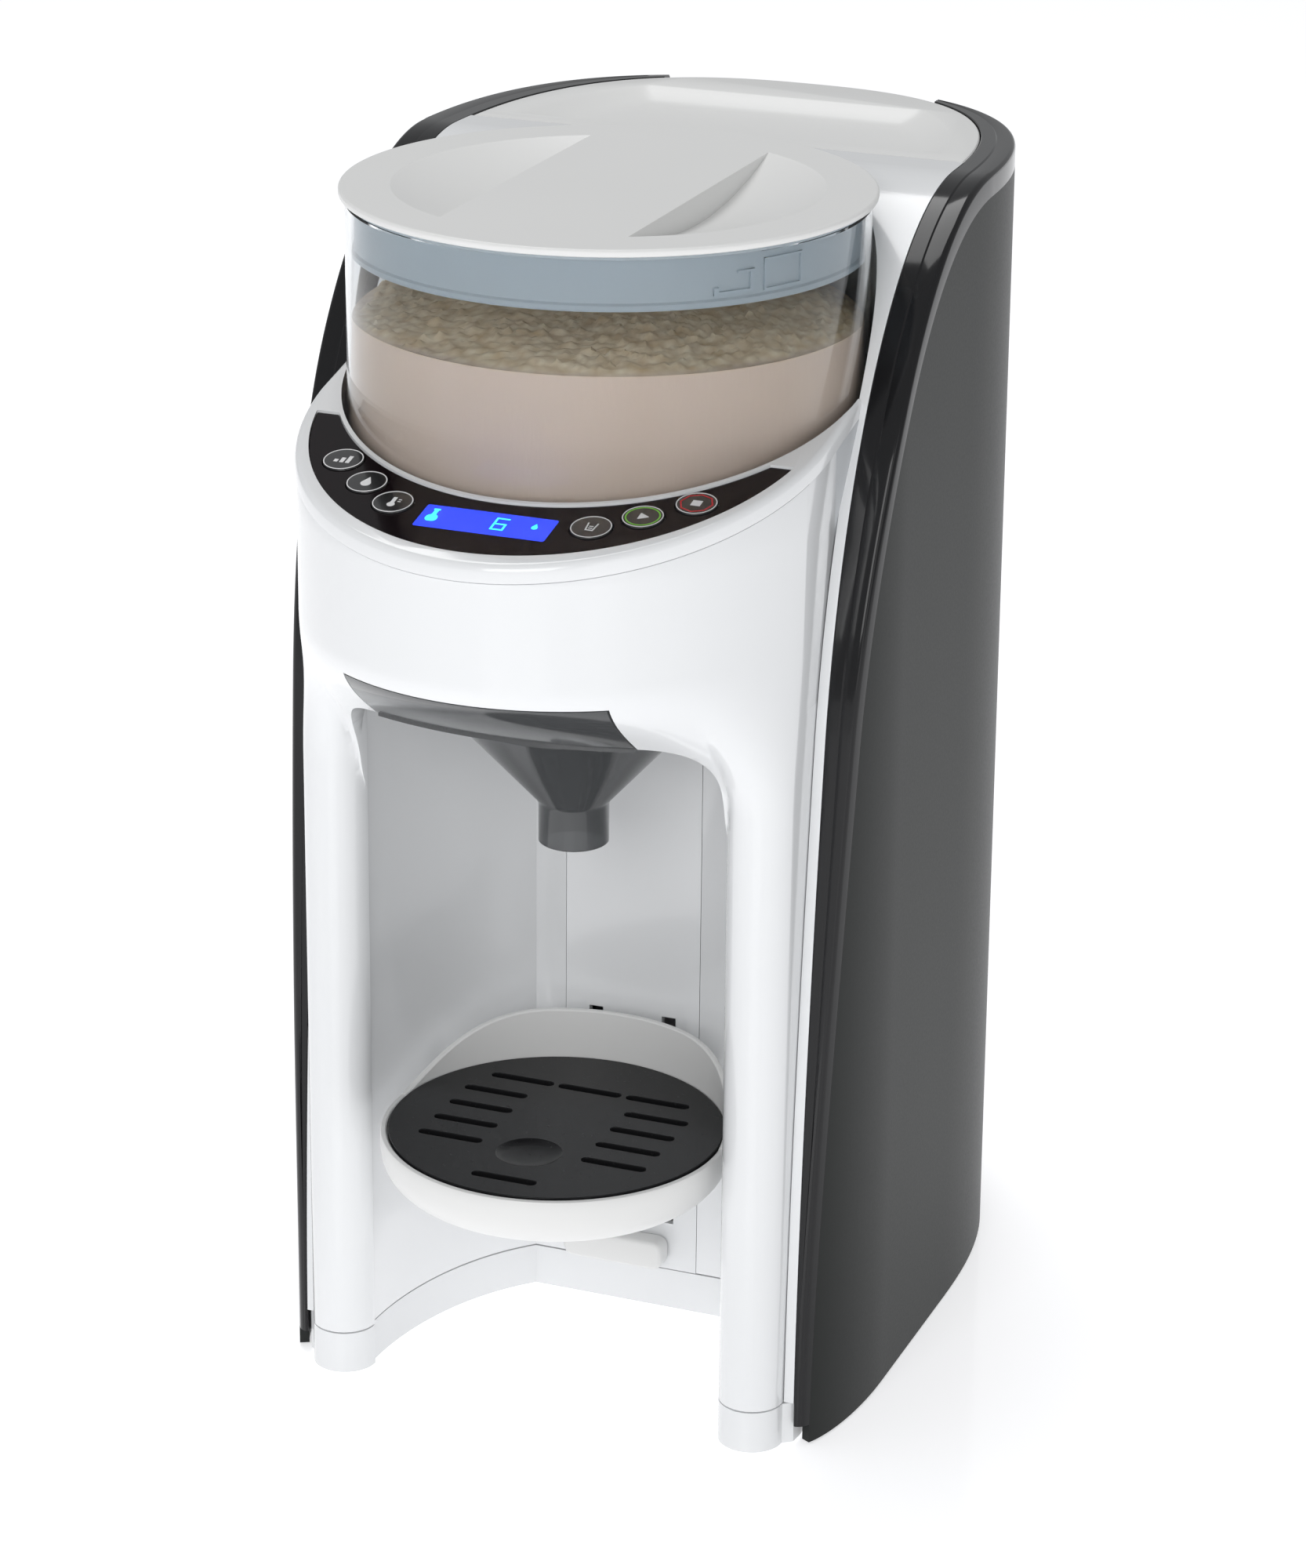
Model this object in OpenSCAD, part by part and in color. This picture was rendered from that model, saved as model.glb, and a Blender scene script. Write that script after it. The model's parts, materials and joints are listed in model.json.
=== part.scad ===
// Formula dispenser: mixes milk powder and heated water into a bottle.
// Origin: middle of the footprint at table height. +X right, +Y to the rear, +Z up, seen from the front.
// Flat drawings named *_plan lie in X-Y. Drawings in Y-Z are swept along X with across().

/* [Body] */
// Overall width across the side panels
body_w = 182; // [180:1:186]
// Overall depth from the control panel to the rear
body_d = 292; // [290:1:296]
// Height of the rear deck
deck_z = 361; // [360:0.5:362]
// Half width of the white housing between the side panels
housing_x = 79.5; // [79:0.1:80]
// Wall thickness of the moulded shells
wall = 2.5; // [2:0.1:2.6]
// Height of the rubber feet under the base
foot_h = 1; // [0.8:0.1:1.5]
// Height of the seam above the base band
band_z = 14; // [12:0.5:15]

/* [Head and bay] */
// Half width of the head
head_rx = 77.3; // [77:0.1:77.4]
// Depth of the head from its centre to its front
head_ry = 85.5; // [84:0.1:85.8]
// Radius of the rounded column fronts
column_r = 9.8; // [9:0.1:10]
// Half width of the bottle bay at its mouth
bay_rx = 57.7; // [57:0.1:58]
// Height of the bay's ceiling
bay_top = 226; // [225.5:0.1:226.5]
// Height of the arch over the bay's mouth
arch_z = 219; // [216:0.5:220]

/* [Powder container] */
// Outer radius of the clear container
container_r = 75; // [74.5:0.1:75.2]
// Wall thickness of the clear container
container_wall = 2; // [1.8:0.1:2]
// Top of the container's wall
container_top = 361.5; // [361:0.1:361.5]
// Radius of the container's lid
lid_r = 76.8; // [76.5:0.1:78]
// Top face of the lid
lid_top = 365.2; // [365:0.1:366]
// Level of the powder
powder_z = 329; // [310:1:335]

/* [Bottle tray] */
// Radius of the drip grid
grid_r = 50; // [48:0.5:50]
// Top face of the drip grid
grid_z = 87.8; // [80:0.1:90]

/* [Funnel] */
// Outer radius of the spout
spout_r = 10.4; // [9:0.1:11]
// Height of the spout's mouth
spout_z = 174.3; // [170:0.1:178]

/* [Water tank] */
// Underside of the water tank
tank_z = 116.6; // [116.5:0.1:117]
// Top of the water tank
tank_top = 350; // [348:0.5:350.5]

/* [Control panel] */
// Radius of a button's cap
button_r = 5.9; // [5:0.1:5.9]
// How far a button stands above the panel
button_rise = 0.5; // [0.3:0.1:0.8]

/* [Gears] */
// Size of the gear teeth
gear_module = 1; // [1:1:1]
// Teeth of the gear under the container
drive_teeth = 28; // [28:1:28]
// Teeth of the idler gear
idler_teeth = 34; // [34:1:34]
// Teeth of the motor's pinion
pinion_teeth = 12; // [12:1:12]

/* [Hidden] */
$fn = 96;
white = "white";
side_grey = "#4a4c4b";
gloss_black = "#141414";
steel = "silver";
smoke = [0.3, 0.3, 0.3, 0.6];
clear = [0.8, 0.85, 0.9, 0.4];

front_y = -body_d / 2;
rear_y = body_d / 2;
gap = 0.3;
over = 1;

// Outline of the side panels: a soft front corner, a flat side and a full rounded rear
corner_x = 77.9;
corner_y = -32;
corner_rx = body_w / 2 - corner_x;
corner_ry = 50;
rear_start = 25;
rear_power = 2.6;
panel_t = 3;
band_inset = 11.5;
rear_window_x = 45;

// Head, container and funnel stand on one line, from front to rear
head_y = -60;
container_y = -34.75;
bore_r = 76.6;
seat_r = bore_r + 1.2;
seat_z = 254;
seat_floor = 3;
outlet_r = 24.45;
outlet_y = container_y - outlet_r;
frame_h = 4.5;
frame_ry = body_d / 2 + head_y;
frame_rx = 77.6;

// The control panel lies on a plane that rises towards the rear
panel_slope = 0.2325;
panel_tilt = atan(panel_slope);
panel_z0 = 318.87;
function panel_z(y) = panel_z0 + panel_slope * y;

column_x = 66.3;
column_y = -80.4;
front_x = 76.1;
strip_x = 76.4;
bay_y = -80;
bay_ry = 83;
bay_back = -11;
bay_mouth_x = 56.5;
ceiling_y = -111;

deck_front_y = -35.5;
lid_split_y = 48.4;
shelf_y = 70;

function bezier2(a, b, c, n = 8) =
    [for (i = [0:n]) let (t = i / n) (1 - t) * (1 - t) * a + 2 * t * (1 - t) * b + t * t * c];
function bezier3(a, b, c, d, n = 20) =
    [for (i = [0:n]) let (t = i / n, s = 1 - t)
        s * s * s * a + 3 * s * s * t * b + 3 * s * t * t * c + t * t * t * d];
function ellipse(cy, rx, ry, from = 0, to = 360, n = 72) =
    [for (i = [0:n]) let (a = from + (to - from) * i / n) [rx * cos(a), cy + ry * sin(a)]];
function flip_x(points) = [for (i = [len(points) - 1:-1:0]) [-points[i][0], points[i][1]]];
function back_to_front(points) = [for (i = [len(points) - 1:-1:0]) points[i]];

// Rising front edge of the side panels, in Y-Z
edge_curve = concat(
    bezier2([-80, 0], [-80, 90], [-65.5, 219]),
    bezier3([-65.5, 219], [-55.1, 299], [-12, deck_z], [38, deck_z]));
trim_curve = concat(
    bezier2([-77.2, 0], [-76.5, 90], [-61, 219]),
    bezier3([-61, 219], [-50.5, 297], [-10, deck_z - 7], [40, deck_z - 7]));

// Right half of the side panels' outline, moved in by inset
function side_line(inset) = concat(
    [for (i = [0:14]) let (a = -90 + 90 * i / 14)
        [corner_x + (corner_rx - inset) * cos(a), corner_y + (corner_ry - inset) * sin(a)]],
    rear_line(inset));
function rear_line(inset) =
    [for (i = [0:24]) let (a = 90 * i / 24)
        [(body_w / 2 - inset) * pow(cos(a), 2 / rear_power),
         rear_start + (rear_y - rear_start - inset) * pow(sin(a), 2 / rear_power)]];

module across(w) rotate([90, 0, 90]) linear_extrude(w, center = true) children();
module upright(z0, z1) translate([0, 0, z0]) linear_extrude(z1 - z0) children();
module both_sides() { children(); mirror([1, 0, 0]) children(); }
module box(lo, hi) translate(lo) cube(hi - lo);
module box2(lo, hi) translate(lo) square(hi - lo);
module rod(at, r, z0, z1) translate([at[0], at[1], z0]) cylinder(r = r, h = z1 - z0);

// A slab that follows the control panel's plane, between two depths below it
module panel_slab(low, high) across(2 * body_w)
    polygon([[2 * front_y, panel_z(2 * front_y) + low], [deck_front_y, panel_z(deck_front_y) + low],
             [deck_front_y, panel_z(deck_front_y) + high], [2 * front_y, panel_z(2 * front_y) + high]]);
module on_panel(x, y) translate([x, y, panel_z(y)]) rotate([panel_tilt, 0, 0]) children();

// ---------- outlines ----------
module bay_plan(t = 0) {
    arc = ellipse(bay_y, bay_rx + t, bay_ry + t, 0, asin((bay_back - bay_y + t) / (bay_ry + t)), 20);
    half = concat([[bay_mouth_x + t, 2 * front_y], [bay_mouth_x + t, bay_y]], arc);
    polygon(concat(half, flip_x(half)));
}
module column_plan(t = 0, rear = -8.6) difference() {
    union() {
        for (s = [-1, 1]) translate([s * column_x, column_y]) circle(column_r - t);
        translate([t - front_x, column_y]) square([2 * (front_x - t), rear - column_y]);
    }
    bay_plan(t);
}
module head_plan(rx, ry, half_w, rear) intersection() {
    union() {
        polygon(ellipse(head_y, rx, ry, 180, 360, 60));
        translate([-rx, head_y]) square([2 * rx, rear - head_y]);
    }
    translate([-half_w, 2 * front_y]) square([2 * half_w, rear - 2 * front_y]);
}
module housing_plan(t = 0) difference() {
    union() {
        for (s = [-1, 1]) translate([s * column_x, column_y]) circle(column_r - t);
        intersection() {
            polygon(concat(side_line(panel_t + 0.4 + t), flip_x(side_line(panel_t + 0.4 + t))));
            translate([t - housing_x, t + column_y]) square([2 * (housing_x - t), body_d]);
        }
    }
    bay_plan(t);
}
module lens_plan() intersection() {
    difference() {
        polygon(ellipse(head_y, 74, frame_ry - 5.7));
        translate([0, container_y]) circle(bore_r + 1.4);
    }
    translate([-body_w, 2 * front_y]) square([2 * body_w, -77 - 2 * front_y]);
}
module side_solid_plan() intersection() {
    polygon(concat(side_line(0), [[0, 0]]));
    translate([housing_x, -body_d]) square(2 * body_d);
}
module side_ring_plan() difference() {
    polygon(concat(side_line(0), back_to_front(side_line(panel_t))));
    translate([-body_w, rear_start]) square([body_w + rear_window_x, body_d]);
}
module lid_plan(inset) intersection() {
    polygon(concat(rear_line(inset), flip_x(rear_line(inset)),
        [[inset - body_w / 2, 0], [body_w / 2 - inset, 0]]));
    translate([-body_w, lid_split_y + 0.6]) square([2 * body_w, body_d]);
}
module rear_plan(inset, front) intersection() {
    polygon(concat(rear_line(inset), flip_x(rear_line(inset))));
    translate([-body_w, front]) square([2 * body_w, body_d]);
}
module tank_plan(t = 0) rear_plan(band_inset + 0.5 + t, shelf_y + 2 + t);

// ---------- housings ----------
chin = [[-150, 246], [ceiling_y, bay_top - 0.5], [-88, 200]];
module front_housing() color(white) difference() {
    union() {
        upright(band_z + gap, bay_top) difference() { column_plan(); column_plan(wall, 0); }
        upright(bay_top, bay_top + wall) intersection() {
            bay_plan(wall);
            translate([-body_w, ceiling_y]) square([2 * body_w, bay_back + wall - ceiling_y]);
        }
        intersection() {
            upright(200, deck_z) difference() {
                head_plan(head_rx, head_ry, front_x, -52);
                head_plan(head_rx - wall, head_ry - wall, front_x - wall, 0);
            }
            across(2 * body_w) polygon(concat(chin, [[-40, 200], [-40, panel_z(-40) - frame_h - 0.1],
                [-150, panel_z(-150) - frame_h - 0.1]]));
        }
        intersection() {
            upright(190, deck_z) head_plan(head_rx, head_ry, front_x, -52);
            across(2 * body_w) polygon(concat(chin, [[-84.6, 200], [-108.6, 227.9], [-150, 249.2]]));
        }
    }
    arch_opening();
    // the funnel's own notch, and the gap its rim slides through
    box([-39.8, -160, arch_z - over], [39.8, ceiling_y, 244]);
    box([-39.8, ceiling_y - over, arch_z - over], [39.8, ceiling_y + 16, bay_top - 0.1]);
    // the tray's track sits in the bay's rear wall
    box([-22.2, bay_back - over, 0], [22.2, 0, 200]);
    rod([0, container_y], seat_r + 0.1, seat_z - over, deck_z);
    rod([0, outlet_y], 9.6, bay_top - over, bay_top + wall + over);
    rod(nozzle_at, 3.8, bay_top - over, bay_top + wall + over);
}
arch_r = 15;
module arch_opening() rotate([90, 0, 0]) translate([0, 0, 84]) linear_extrude(80) {
    translate([-bay_mouth_x, 150]) square([2 * bay_mouth_x, arch_z - arch_r - 150]);
    translate([arch_r - bay_mouth_x, 150]) square([2 * (bay_mouth_x - arch_r), arch_z - 150]);
    for (s = [-1, 1]) translate([s * (bay_mouth_x - arch_r), arch_z - arch_r]) circle(arch_r);
}

module main_housing() color(white) {
    difference() {
        both_sides() intersection() {
            box([strip_x, 2 * front_y, band_z + gap], [housing_x, shelf_y - 1.3, deck_z]);
            across(2 * body_w) polygon(concat(edge_curve,
                [[lid_split_y, deck_z], [lid_split_y, 351.5], [shelf_y, 351.5], [shelf_y, 0]]));
        }
        rod([0, container_y], seat_r + 0.1, seat_z - over, 2 * deck_z);
        // room for the edge trims where they turn inwards
        upright(deck_z - 8, deck_z + over) difference() {
            translate([-body_w, rear_start]) square([2 * body_w, body_d]);
            rear_plan(band_inset + 0.1, rear_start - 1);
        }
    }
    // deck around the container, and the step under the tank's lid
    difference() {
        across(2 * strip_x) intersection() {
            polygon(concat(edge_curve, [[lid_split_y, deck_z], [lid_split_y, 351.5], [shelf_y, 351.5],
                [shelf_y, 349], [lid_split_y - 2.4, 349], [lid_split_y - 2.4, deck_z - wall]],
                back_to_front([for (p = edge_curve) p + [2, -2.2]])));
            translate([deck_front_y, 0]) square([body_d, 2 * deck_z]);
        }
        rod([0, container_y], bore_r, seat_z, 2 * deck_z);
    }
}

module base_band() color(white) upright(foot_h, band_z) difference() {
    housing_plan();
    housing_plan(wall);
}

feet = [[-66.3, -76], [66.3, -76], [-60, 100], [60, 100]];
screws = [[-62, -30], [62, -30], [-30, 120], [30, 120]];
module bottom_cover() color("dimgray") difference() {
    union() {
        upright(foot_h, foot_h + wall) housing_plan(wall + 0.2);
        for (p = screws) rod(p, 5, foot_h, band_z);
    }
    for (p = feet) rod(p, 3, 0, band_z);
    for (p = screws) {
        rod(p, 1.7, 0, band_z + over);
        rod(p, 3.4, 0, foot_h + 1.5);
    }
}
module rubber_feet() color("black") for (p = feet) {
    rod(p, 6, 0, foot_h);
    rod(p, 3, foot_h, foot_h + wall);
}
module housing_screws() color(steel) for (p = screws) {
    rod(p, 1.7, foot_h, band_z + 6);
    difference() {
        rod(p, 3.4, foot_h, foot_h + 1.5);
        translate([p[0], p[1], 0]) cylinder(r = 1.6, h = foot_h + 1, $fn = 6);
    }
}

module side_panel() difference() {
    intersection() {
        union() {
            upright(foot_h, deck_z - 7) side_ring_plan();
            // floor-standing rib behind the trim
            upright(foot_h, 190) intersection() {
                side_solid_plan();
                box2([housing_x, -82], [body_w / 2, -60]);
            }
        }
        across(2 * body_w) polygon(concat(trim_curve, [[rear_y + over, deck_z - 7], [rear_y + over, 0]]));
    }
    translate([housing_x - 20, -body_d, 0]) cube([20, body_d + corner_y, deck_z]);
}
module side_panel_right() color(side_grey) side_panel();
module side_panel_left() color(side_grey) mirror([1, 0, 0]) side_panel();

module edge_trim() intersection() {
    upright(foot_h, deck_z) difference() {
        polygon(concat(side_line(0), [[0, 0]]));
        polygon(concat([[housing_x, -body_d]], rear_line(band_inset), [[0, -body_d]]));
        box2([0, shelf_y], [rear_window_x, body_d]);
    }
    across(2 * body_w) polygon(concat(edge_curve, [[rear_y + over, deck_z], [rear_y + over, deck_z - 7]],
        back_to_front(trim_curve)));
}
module edge_trim_right() color(gloss_black) edge_trim();
module edge_trim_left() color(gloss_black) mirror([1, 0, 0]) edge_trim();

inlet_at = [24, 32];
switch_at = [-24, 32];
module rear_skin(z0, z1) upright(z0, z1) intersection() {
    difference() {
        polygon(concat(rear_line(0), flip_x(rear_line(0))));
        polygon(concat(rear_line(panel_t), flip_x(rear_line(panel_t))));
    }
    translate([0.2 - rear_window_x, shelf_y]) square([2 * (rear_window_x - 0.2), body_d]);
}
module rear_cover() color(side_grey) difference() {
    rear_skin(foot_h, 112);
    box([inlet_at[0] - 14.2, shelf_y, inlet_at[1] - 10.2], [inlet_at[0] + 14.2, body_d, inlet_at[1] + 10.2]);
    box([switch_at[0] - 8.2, shelf_y, switch_at[1] - 11.2], [switch_at[0] + 8.2, body_d, switch_at[1] + 11.2]);
    for (i = [0:6], s = [-1, 1]) box([s * 20 - 12, shelf_y, 62 + 5 * i], [s * 20 + 12, body_d, 64 + 5 * i]);
}

// Shelf and partition that carry the water tank
valve_y = 108;
module rear_frame() color("lightgray") difference() {
    union() {
        upright(112, 116) rear_plan(panel_t + 0.5, shelf_y - 1);
        box([-strip_x + 0.2, shelf_y - 2, 20], [strip_x - 0.2, shelf_y, 348.8]);
        rod([0, valve_y], 12, 100, 112);
    }
    rod([0, valve_y], 9.4, 104, 117);
    rod([0, valve_y], 3.2, 90, 110);
    box([hose_x - hose_r - 1, shelf_y - 3, 22], [hose_x + hose_r + 1, shelf_y + over, 34]);
}

// ---------- container seat and control panel ----------
module container_seat() color("gainsboro") difference() {
    intersection() {
        rod([0, container_y], seat_r, seat_z, deck_z);
        across(2 * body_w) polygon(concat([[front_y, seat_z], [front_y, panel_z(front_y) - frame_h - 0.05],
            [deck_front_y, panel_z(deck_front_y) - frame_h - 0.05]],
            [for (p = edge_curve) if (p[0] > deck_front_y - 1) p + [2, -2.4]],
            [[lid_split_y, deck_z - wall - 0.1], [lid_split_y, seat_z]]));
    }
    rod([0, container_y], bore_r, seat_z + seat_floor, deck_z);
    rod([0, container_y], 9, seat_z - over, seat_z + seat_floor + over);
    rod([0, outlet_y], 7.5, seat_z - over, seat_z + seat_floor + over);
    // room for the buttons' flanges
    for (b = buttons) on_panel(b[0], b[1]) translate([0, 0, -12]) cylinder(r = button_r + 0.8, h = 12);
}
module powder_chute() color("gainsboro") difference() {
    union() {
        rod([0, outlet_y], 9.4, bay_top - 1.5, seat_z);
        rod([0, outlet_y], 11, bay_top + wall, bay_top + wall + 2);
    }
    rod([0, outlet_y], 7.5, 0, deck_z);
}

lens_t = 1.6;
buttons = [[-53, -101], [-41.2, -111], [-29.5, -119.5], [29.5, -119.5], [41.2, -111], [53, -101]];
display_y = -123.5;
module button_holes() for (b = buttons)
    on_panel(b[0], b[1]) translate([0, 0, -10]) cylinder(r = button_r + 0.35, h = 20);
module panel_frame() color(white) difference() {
    intersection() {
        upright(240, deck_z) difference() {
            head_plan(frame_rx, frame_ry, frame_rx, deck_front_y - 0.1);
            translate([0, container_y]) circle(bore_r);
        }
        panel_slab(-frame_h, 0.6);
    }
    intersection() {
        upright(240, deck_z) lens_plan();
        panel_slab(-lens_t - 0.05, 5);
    }
    button_holes();
    on_panel(0, display_y) cube([46, 17, 30], center = true);
}
module control_lens() color(gloss_black) difference() {
    intersection() {
        upright(240, deck_z) lens_plan();
        panel_slab(-lens_t, 0);
    }
    button_holes();
}
module display_module() color("royalblue") on_panel(0, display_y) difference() {
    translate([-22, -7.5, -7]) cube([44, 15, 7 - lens_t - 0.1]);
    translate([-19.5, -5.85, -lens_t - 0.6]) cube([39, 11.7, 2]);
}
module button_board() color("seagreen") {
    intersection() {
        upright(200, deck_z) intersection() {
            difference() {
                polygon(ellipse(head_y, 68, 76));
                translate([0, container_y]) circle(seat_r + 1.5);
            }
            box2([-62, -140], [62, -92]);
        }
        panel_slab(-11, -9.4);
    }
    for (b = buttons) on_panel(b[0], b[1]) translate([-3, -3, -9.2]) cube([6, 6, 1.2]);
}
module button(i) color("#202020") on_panel(buttons[i][0], buttons[i][1]) {
    translate([0, 0, -4.9]) cylinder(r = button_r, h = 4.9 + button_rise);
    translate([0, 0, -6.3]) cylinder(r = button_r + 0.7, h = 1.4);
    translate([0, 0, -7.2]) cylinder(r = 1.5, h = 1);
}
module strength_button() button(0);
module water_button() button(1);
module warmth_button() button(2);
module amount_button() button(3);
module start_button() button(4);
module stop_button() button(5);

// ---------- container, lid and powder drive ----------
container_z = seat_z + seat_floor + gap;
container_floor = container_z + 3;
module in_container() translate([0, container_y, 0]) children();
module powder_container() color(clear) in_container() difference() {
    rod([0, 0], container_r, container_z, container_top);
    rod([0, 0], container_r - container_wall, container_floor, deck_z + over);
    rod([0, 0], 8.4, container_z - over, container_floor + over);
    rod([0, -outlet_r], 6.5, container_z - over, container_floor + over);
}
collar_r = container_r - container_wall - gap;
module lid_collar() color(clear) in_container() difference() {
    union() {
        rod([0, 0], collar_r, 347, container_top + 1.1);
        rod([0, 0], container_r, container_top + gap, container_top + 1.1);
    }
    rod([0, 0], collar_r - 2.4, 340, deck_z + 9);
}
lid_z = container_top + 1.1 + gap;
grip_x = 28;
grip_r = 62;
grip_depth = 9;
module grip_plan(t) both_sides() intersection() {
    circle(grip_r + t);
    translate([grip_x - t, -body_w]) square(2 * body_w);
}
module container_lid() color(white) in_container() {
    difference() {
        rod([0, 0], lid_r, lid_z, lid_top);
        upright(lid_z - over, lid_top + over) grip_plan(0);
    }
    difference() {
        upright(lid_top - grip_depth - 1.6, lid_top - over) grip_plan(1.6);
        upright(lid_top - grip_depth, lid_top + over) grip_plan(0);
    }
}
stir_r = 52;
wheel_z = container_floor + gap;
module formula_powder() color("wheat") in_container() difference() {
    rod([0, 0], collar_r, wheel_z, powder_z);
    rod([0, 0], 60, wheel_z - over, 296);
}
dog_r = 4.2;
module dosing_wheel() color(white) in_container() difference() {
    union() {
        rod([0, 0], 40, wheel_z, wheel_z + 9.4);
        rod([0, 0], 8, container_z + gap, wheel_z);
    }
    for (i = [0:5]) rotate(60 * i) rod([0, outlet_r], 5.5, wheel_z - over, wheel_z + 10);
    translate([0, 0, container_z - over]) cylinder(r = dog_r + 0.6, h = 8, $fn = 6);
}
module stirrer() color("gainsboro") in_container() {
    rod([0, 0], 5, wheel_z + 9.4, 292);
    for (i = [0, 1]) rotate(180 * i) {
        box([0, -3, wheel_z + 11], [stir_r, 3, wheel_z + 14]);
        rod([stir_r, 0], 2.5, wheel_z + 11, 290);
        box([0, -1.5, 282], [stir_r - 16, 1.5, 285]);
    }
}

gear_z = 244;
gear_h = 6;
drive_pitch = gear_module * drive_teeth / 2;
idler_pitch = gear_module * idler_teeth / 2;
pinion_pitch = gear_module * pinion_teeth / 2;
idler_y = container_y + drive_pitch + idler_pitch + 0.1;
motor_y = idler_y + idler_pitch + pinion_pitch + 0.1;
module gear_plan(teeth) {
    pitch = gear_module * teeth / 2;
    root = pitch - 1.2 * gear_module;
    tip = pitch + 0.9 * gear_module;
    circle(root + 0.05);
    for (i = [0:teeth - 1]) rotate(360 * i / teeth)
        polygon([[root - 0.6, -1], [root, -1], [pitch, -0.72], [tip, -0.36],
                 [tip, 0.36], [pitch, 0.72], [root, 1], [root - 0.6, 1]] * gear_module);
}
module drive_gear() color("ivory") in_container() difference() {
    union() {
        upright(gear_z, gear_z + gear_h) gear_plan(drive_teeth);
        rod([0, 0], 7, gear_z + gear_h, gear_z + gear_h + 2);
        translate([0, 0, gear_z + gear_h]) cylinder(r = dog_r, h = 13, $fn = 6);
    }
    rod([0, 0], 2.55, gear_z - over, gear_z + gear_h + 9);
}
module idler_gear() color("ivory") translate([0, idler_y, 0]) difference() {
    upright(gear_z, gear_z + gear_h) gear_plan(idler_teeth);
    rod([0, 0], 2.55, gear_z - over, gear_z + gear_h + over);
}
module motor_pinion() color("goldenrod") translate([0, motor_y, 0]) difference() {
    upright(gear_z, gear_z + gear_h) gear_plan(pinion_teeth);
    rod([0, 0], 2, gear_z - over, gear_z + gear_h + over);
}
module gear_plate() color(steel) difference() {
    box([-22, container_y - 12, 239], [22, motor_y + 20, 242]);
    rod([0, container_y], 2.52, 238, 243);
    rod([0, idler_y], 2.52, 238, 243);
    rod([0, motor_y], 5, 238, 243);
    rod([0, outlet_y], 10, 238, 243);
}
module gear_pins() color(steel) {
    rod([0, container_y], 2.5, 239, gear_z + gear_h + 8);
    rod([0, idler_y], 2.5, 239, gear_z + gear_h + 3);
}
module drive_motor() color(steel) {
    rod([0, motor_y], 15, 200, 239);
    rod([0, motor_y], 4.8, 239, 241.5);
    rod([0, motor_y], 6, 194, 200);
}
module motor_shaft() color("dimgray") rod([0, motor_y], 2, 241.7, gear_z + gear_h + 2);

// ---------- funnel ----------
mouth_r = 37;
mouth_z = 223;
nozzle_at = [14, -48];
module funnel() color(smoke) difference() {
    union() {
        rod([0, outlet_y], mouth_r, mouth_z - 7, mouth_z);
        translate([0, outlet_y, 187]) cylinder(r1 = spout_r, r2 = mouth_r, h = mouth_z - 7 - 187);
        rod([0, outlet_y], spout_r, spout_z, 187);
        // front plate, and the web between it and the cone
        intersection() {
            upright(200, 250) head_plan(head_rx, head_ry, 39.2, -70);
            across(2 * body_w) polygon([[-146, 243.6], [-118.5, 222.5], [-90, mouth_z - 3],
                [-60, mouth_z - 3], [-60, mouth_z], [-112, mouth_z], [-117, 228], [-143, 246]]);
            box([-body_w, -150, 200], [body_w, -60, 243.7]);
        }
    }
    rod([0, outlet_y], mouth_r - 2, mouth_z - 7, mouth_z + over);
    translate([0, outlet_y, 187.5]) cylinder(r1 = spout_r - 1.5, r2 = mouth_r - 2, h = mouth_z - 7 - 187.5);
    rod([0, outlet_y], spout_r - 1.5, spout_z - over, 188);
}
module water_nozzle() color(steel) difference() {
    union() {
        rod(nozzle_at, 3.6, 224.2, 236);
        rod(nozzle_at, 5.5, bay_top + wall, bay_top + wall + 1);
    }
    rod(nozzle_at, 1.5, 220, 240);
}

// ---------- bottle tray ----------
tray_y = -72.2;
rim_r = grid_r + 2.3;
module drip_tray() color(white) difference() {
    union() {
        translate([0, tray_y, 0]) rotate_extrude() polygon([[0, grid_z - 19], [36, grid_z - 19],
            [44, grid_z - 16.5], [49, grid_z - 12], [rim_r - 0.5, grid_z - 5], [rim_r, grid_z - 0.4], [grid_r + 0.4, grid_z - 0.4],
            [grid_r + 0.4, grid_z - 2.4], [grid_r - 1.6, grid_z - 2.4], [grid_r - 3, grid_z - 9],
            [43, grid_z - 14], [35.4, grid_z - 16.8], [0, grid_z - 16.8]]);
        // splash wall that rises behind the grid
        intersection() {
            translate([0, tray_y, 0]) difference() {
                rod([0, 0], rim_r, grid_z - 3, grid_z + 16);
                rod([0, 0], grid_r + 0.4, 0, deck_z);
            }
            across(2 * body_w) polygon([[tray_y, grid_z - 3], [tray_y, grid_z - 0.5], [tray_y + 14, grid_z + 4],
                [tray_y + 34, grid_z + 13], [tray_y + rim_r, grid_z + 16], [tray_y + rim_r, grid_z - 3]]);
        }
    }
    // pocket that drops over the carriage's arm
    box([-15.3, -60, 0], [15.3, 0, grid_z - 18.2]);
}
slot_l = 20.3;
slot_w = 3.2;
slot_pitch = 11.4;
dimple_at = [0, tray_y - 20.8];
module slot_row(y, xs) for (x = xs) translate([x, y, grid_z - 5]) {
    box([-slot_l / 2 + slot_w / 2, -slot_w / 2, 0], [slot_l / 2 - slot_w / 2, slot_w / 2, 10]);
    for (s = [-1, 1]) translate([s * (slot_l - slot_w) / 2, 0, 0]) cylinder(r = slot_w / 2, h = 10);
}
module drip_grid() color("#1c1c1c") difference() {
    translate([0, tray_y, 0]) rod([0, 0], grid_r, grid_z - 2, grid_z);
    for (i = [0:3]) slot_row(tray_y - 19 + slot_pitch * i, [-26, 26]);
    slot_row(tray_y + 26.6, [-22, 0, 22]);
    slot_row(tray_y - 39.6, [0]);
    // shallow round dish at the front
    translate([dimple_at[0], dimple_at[1], grid_z - 1.4]) cylinder(r1 = 8.6, r2 = 10, h = 1.5);
}
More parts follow.
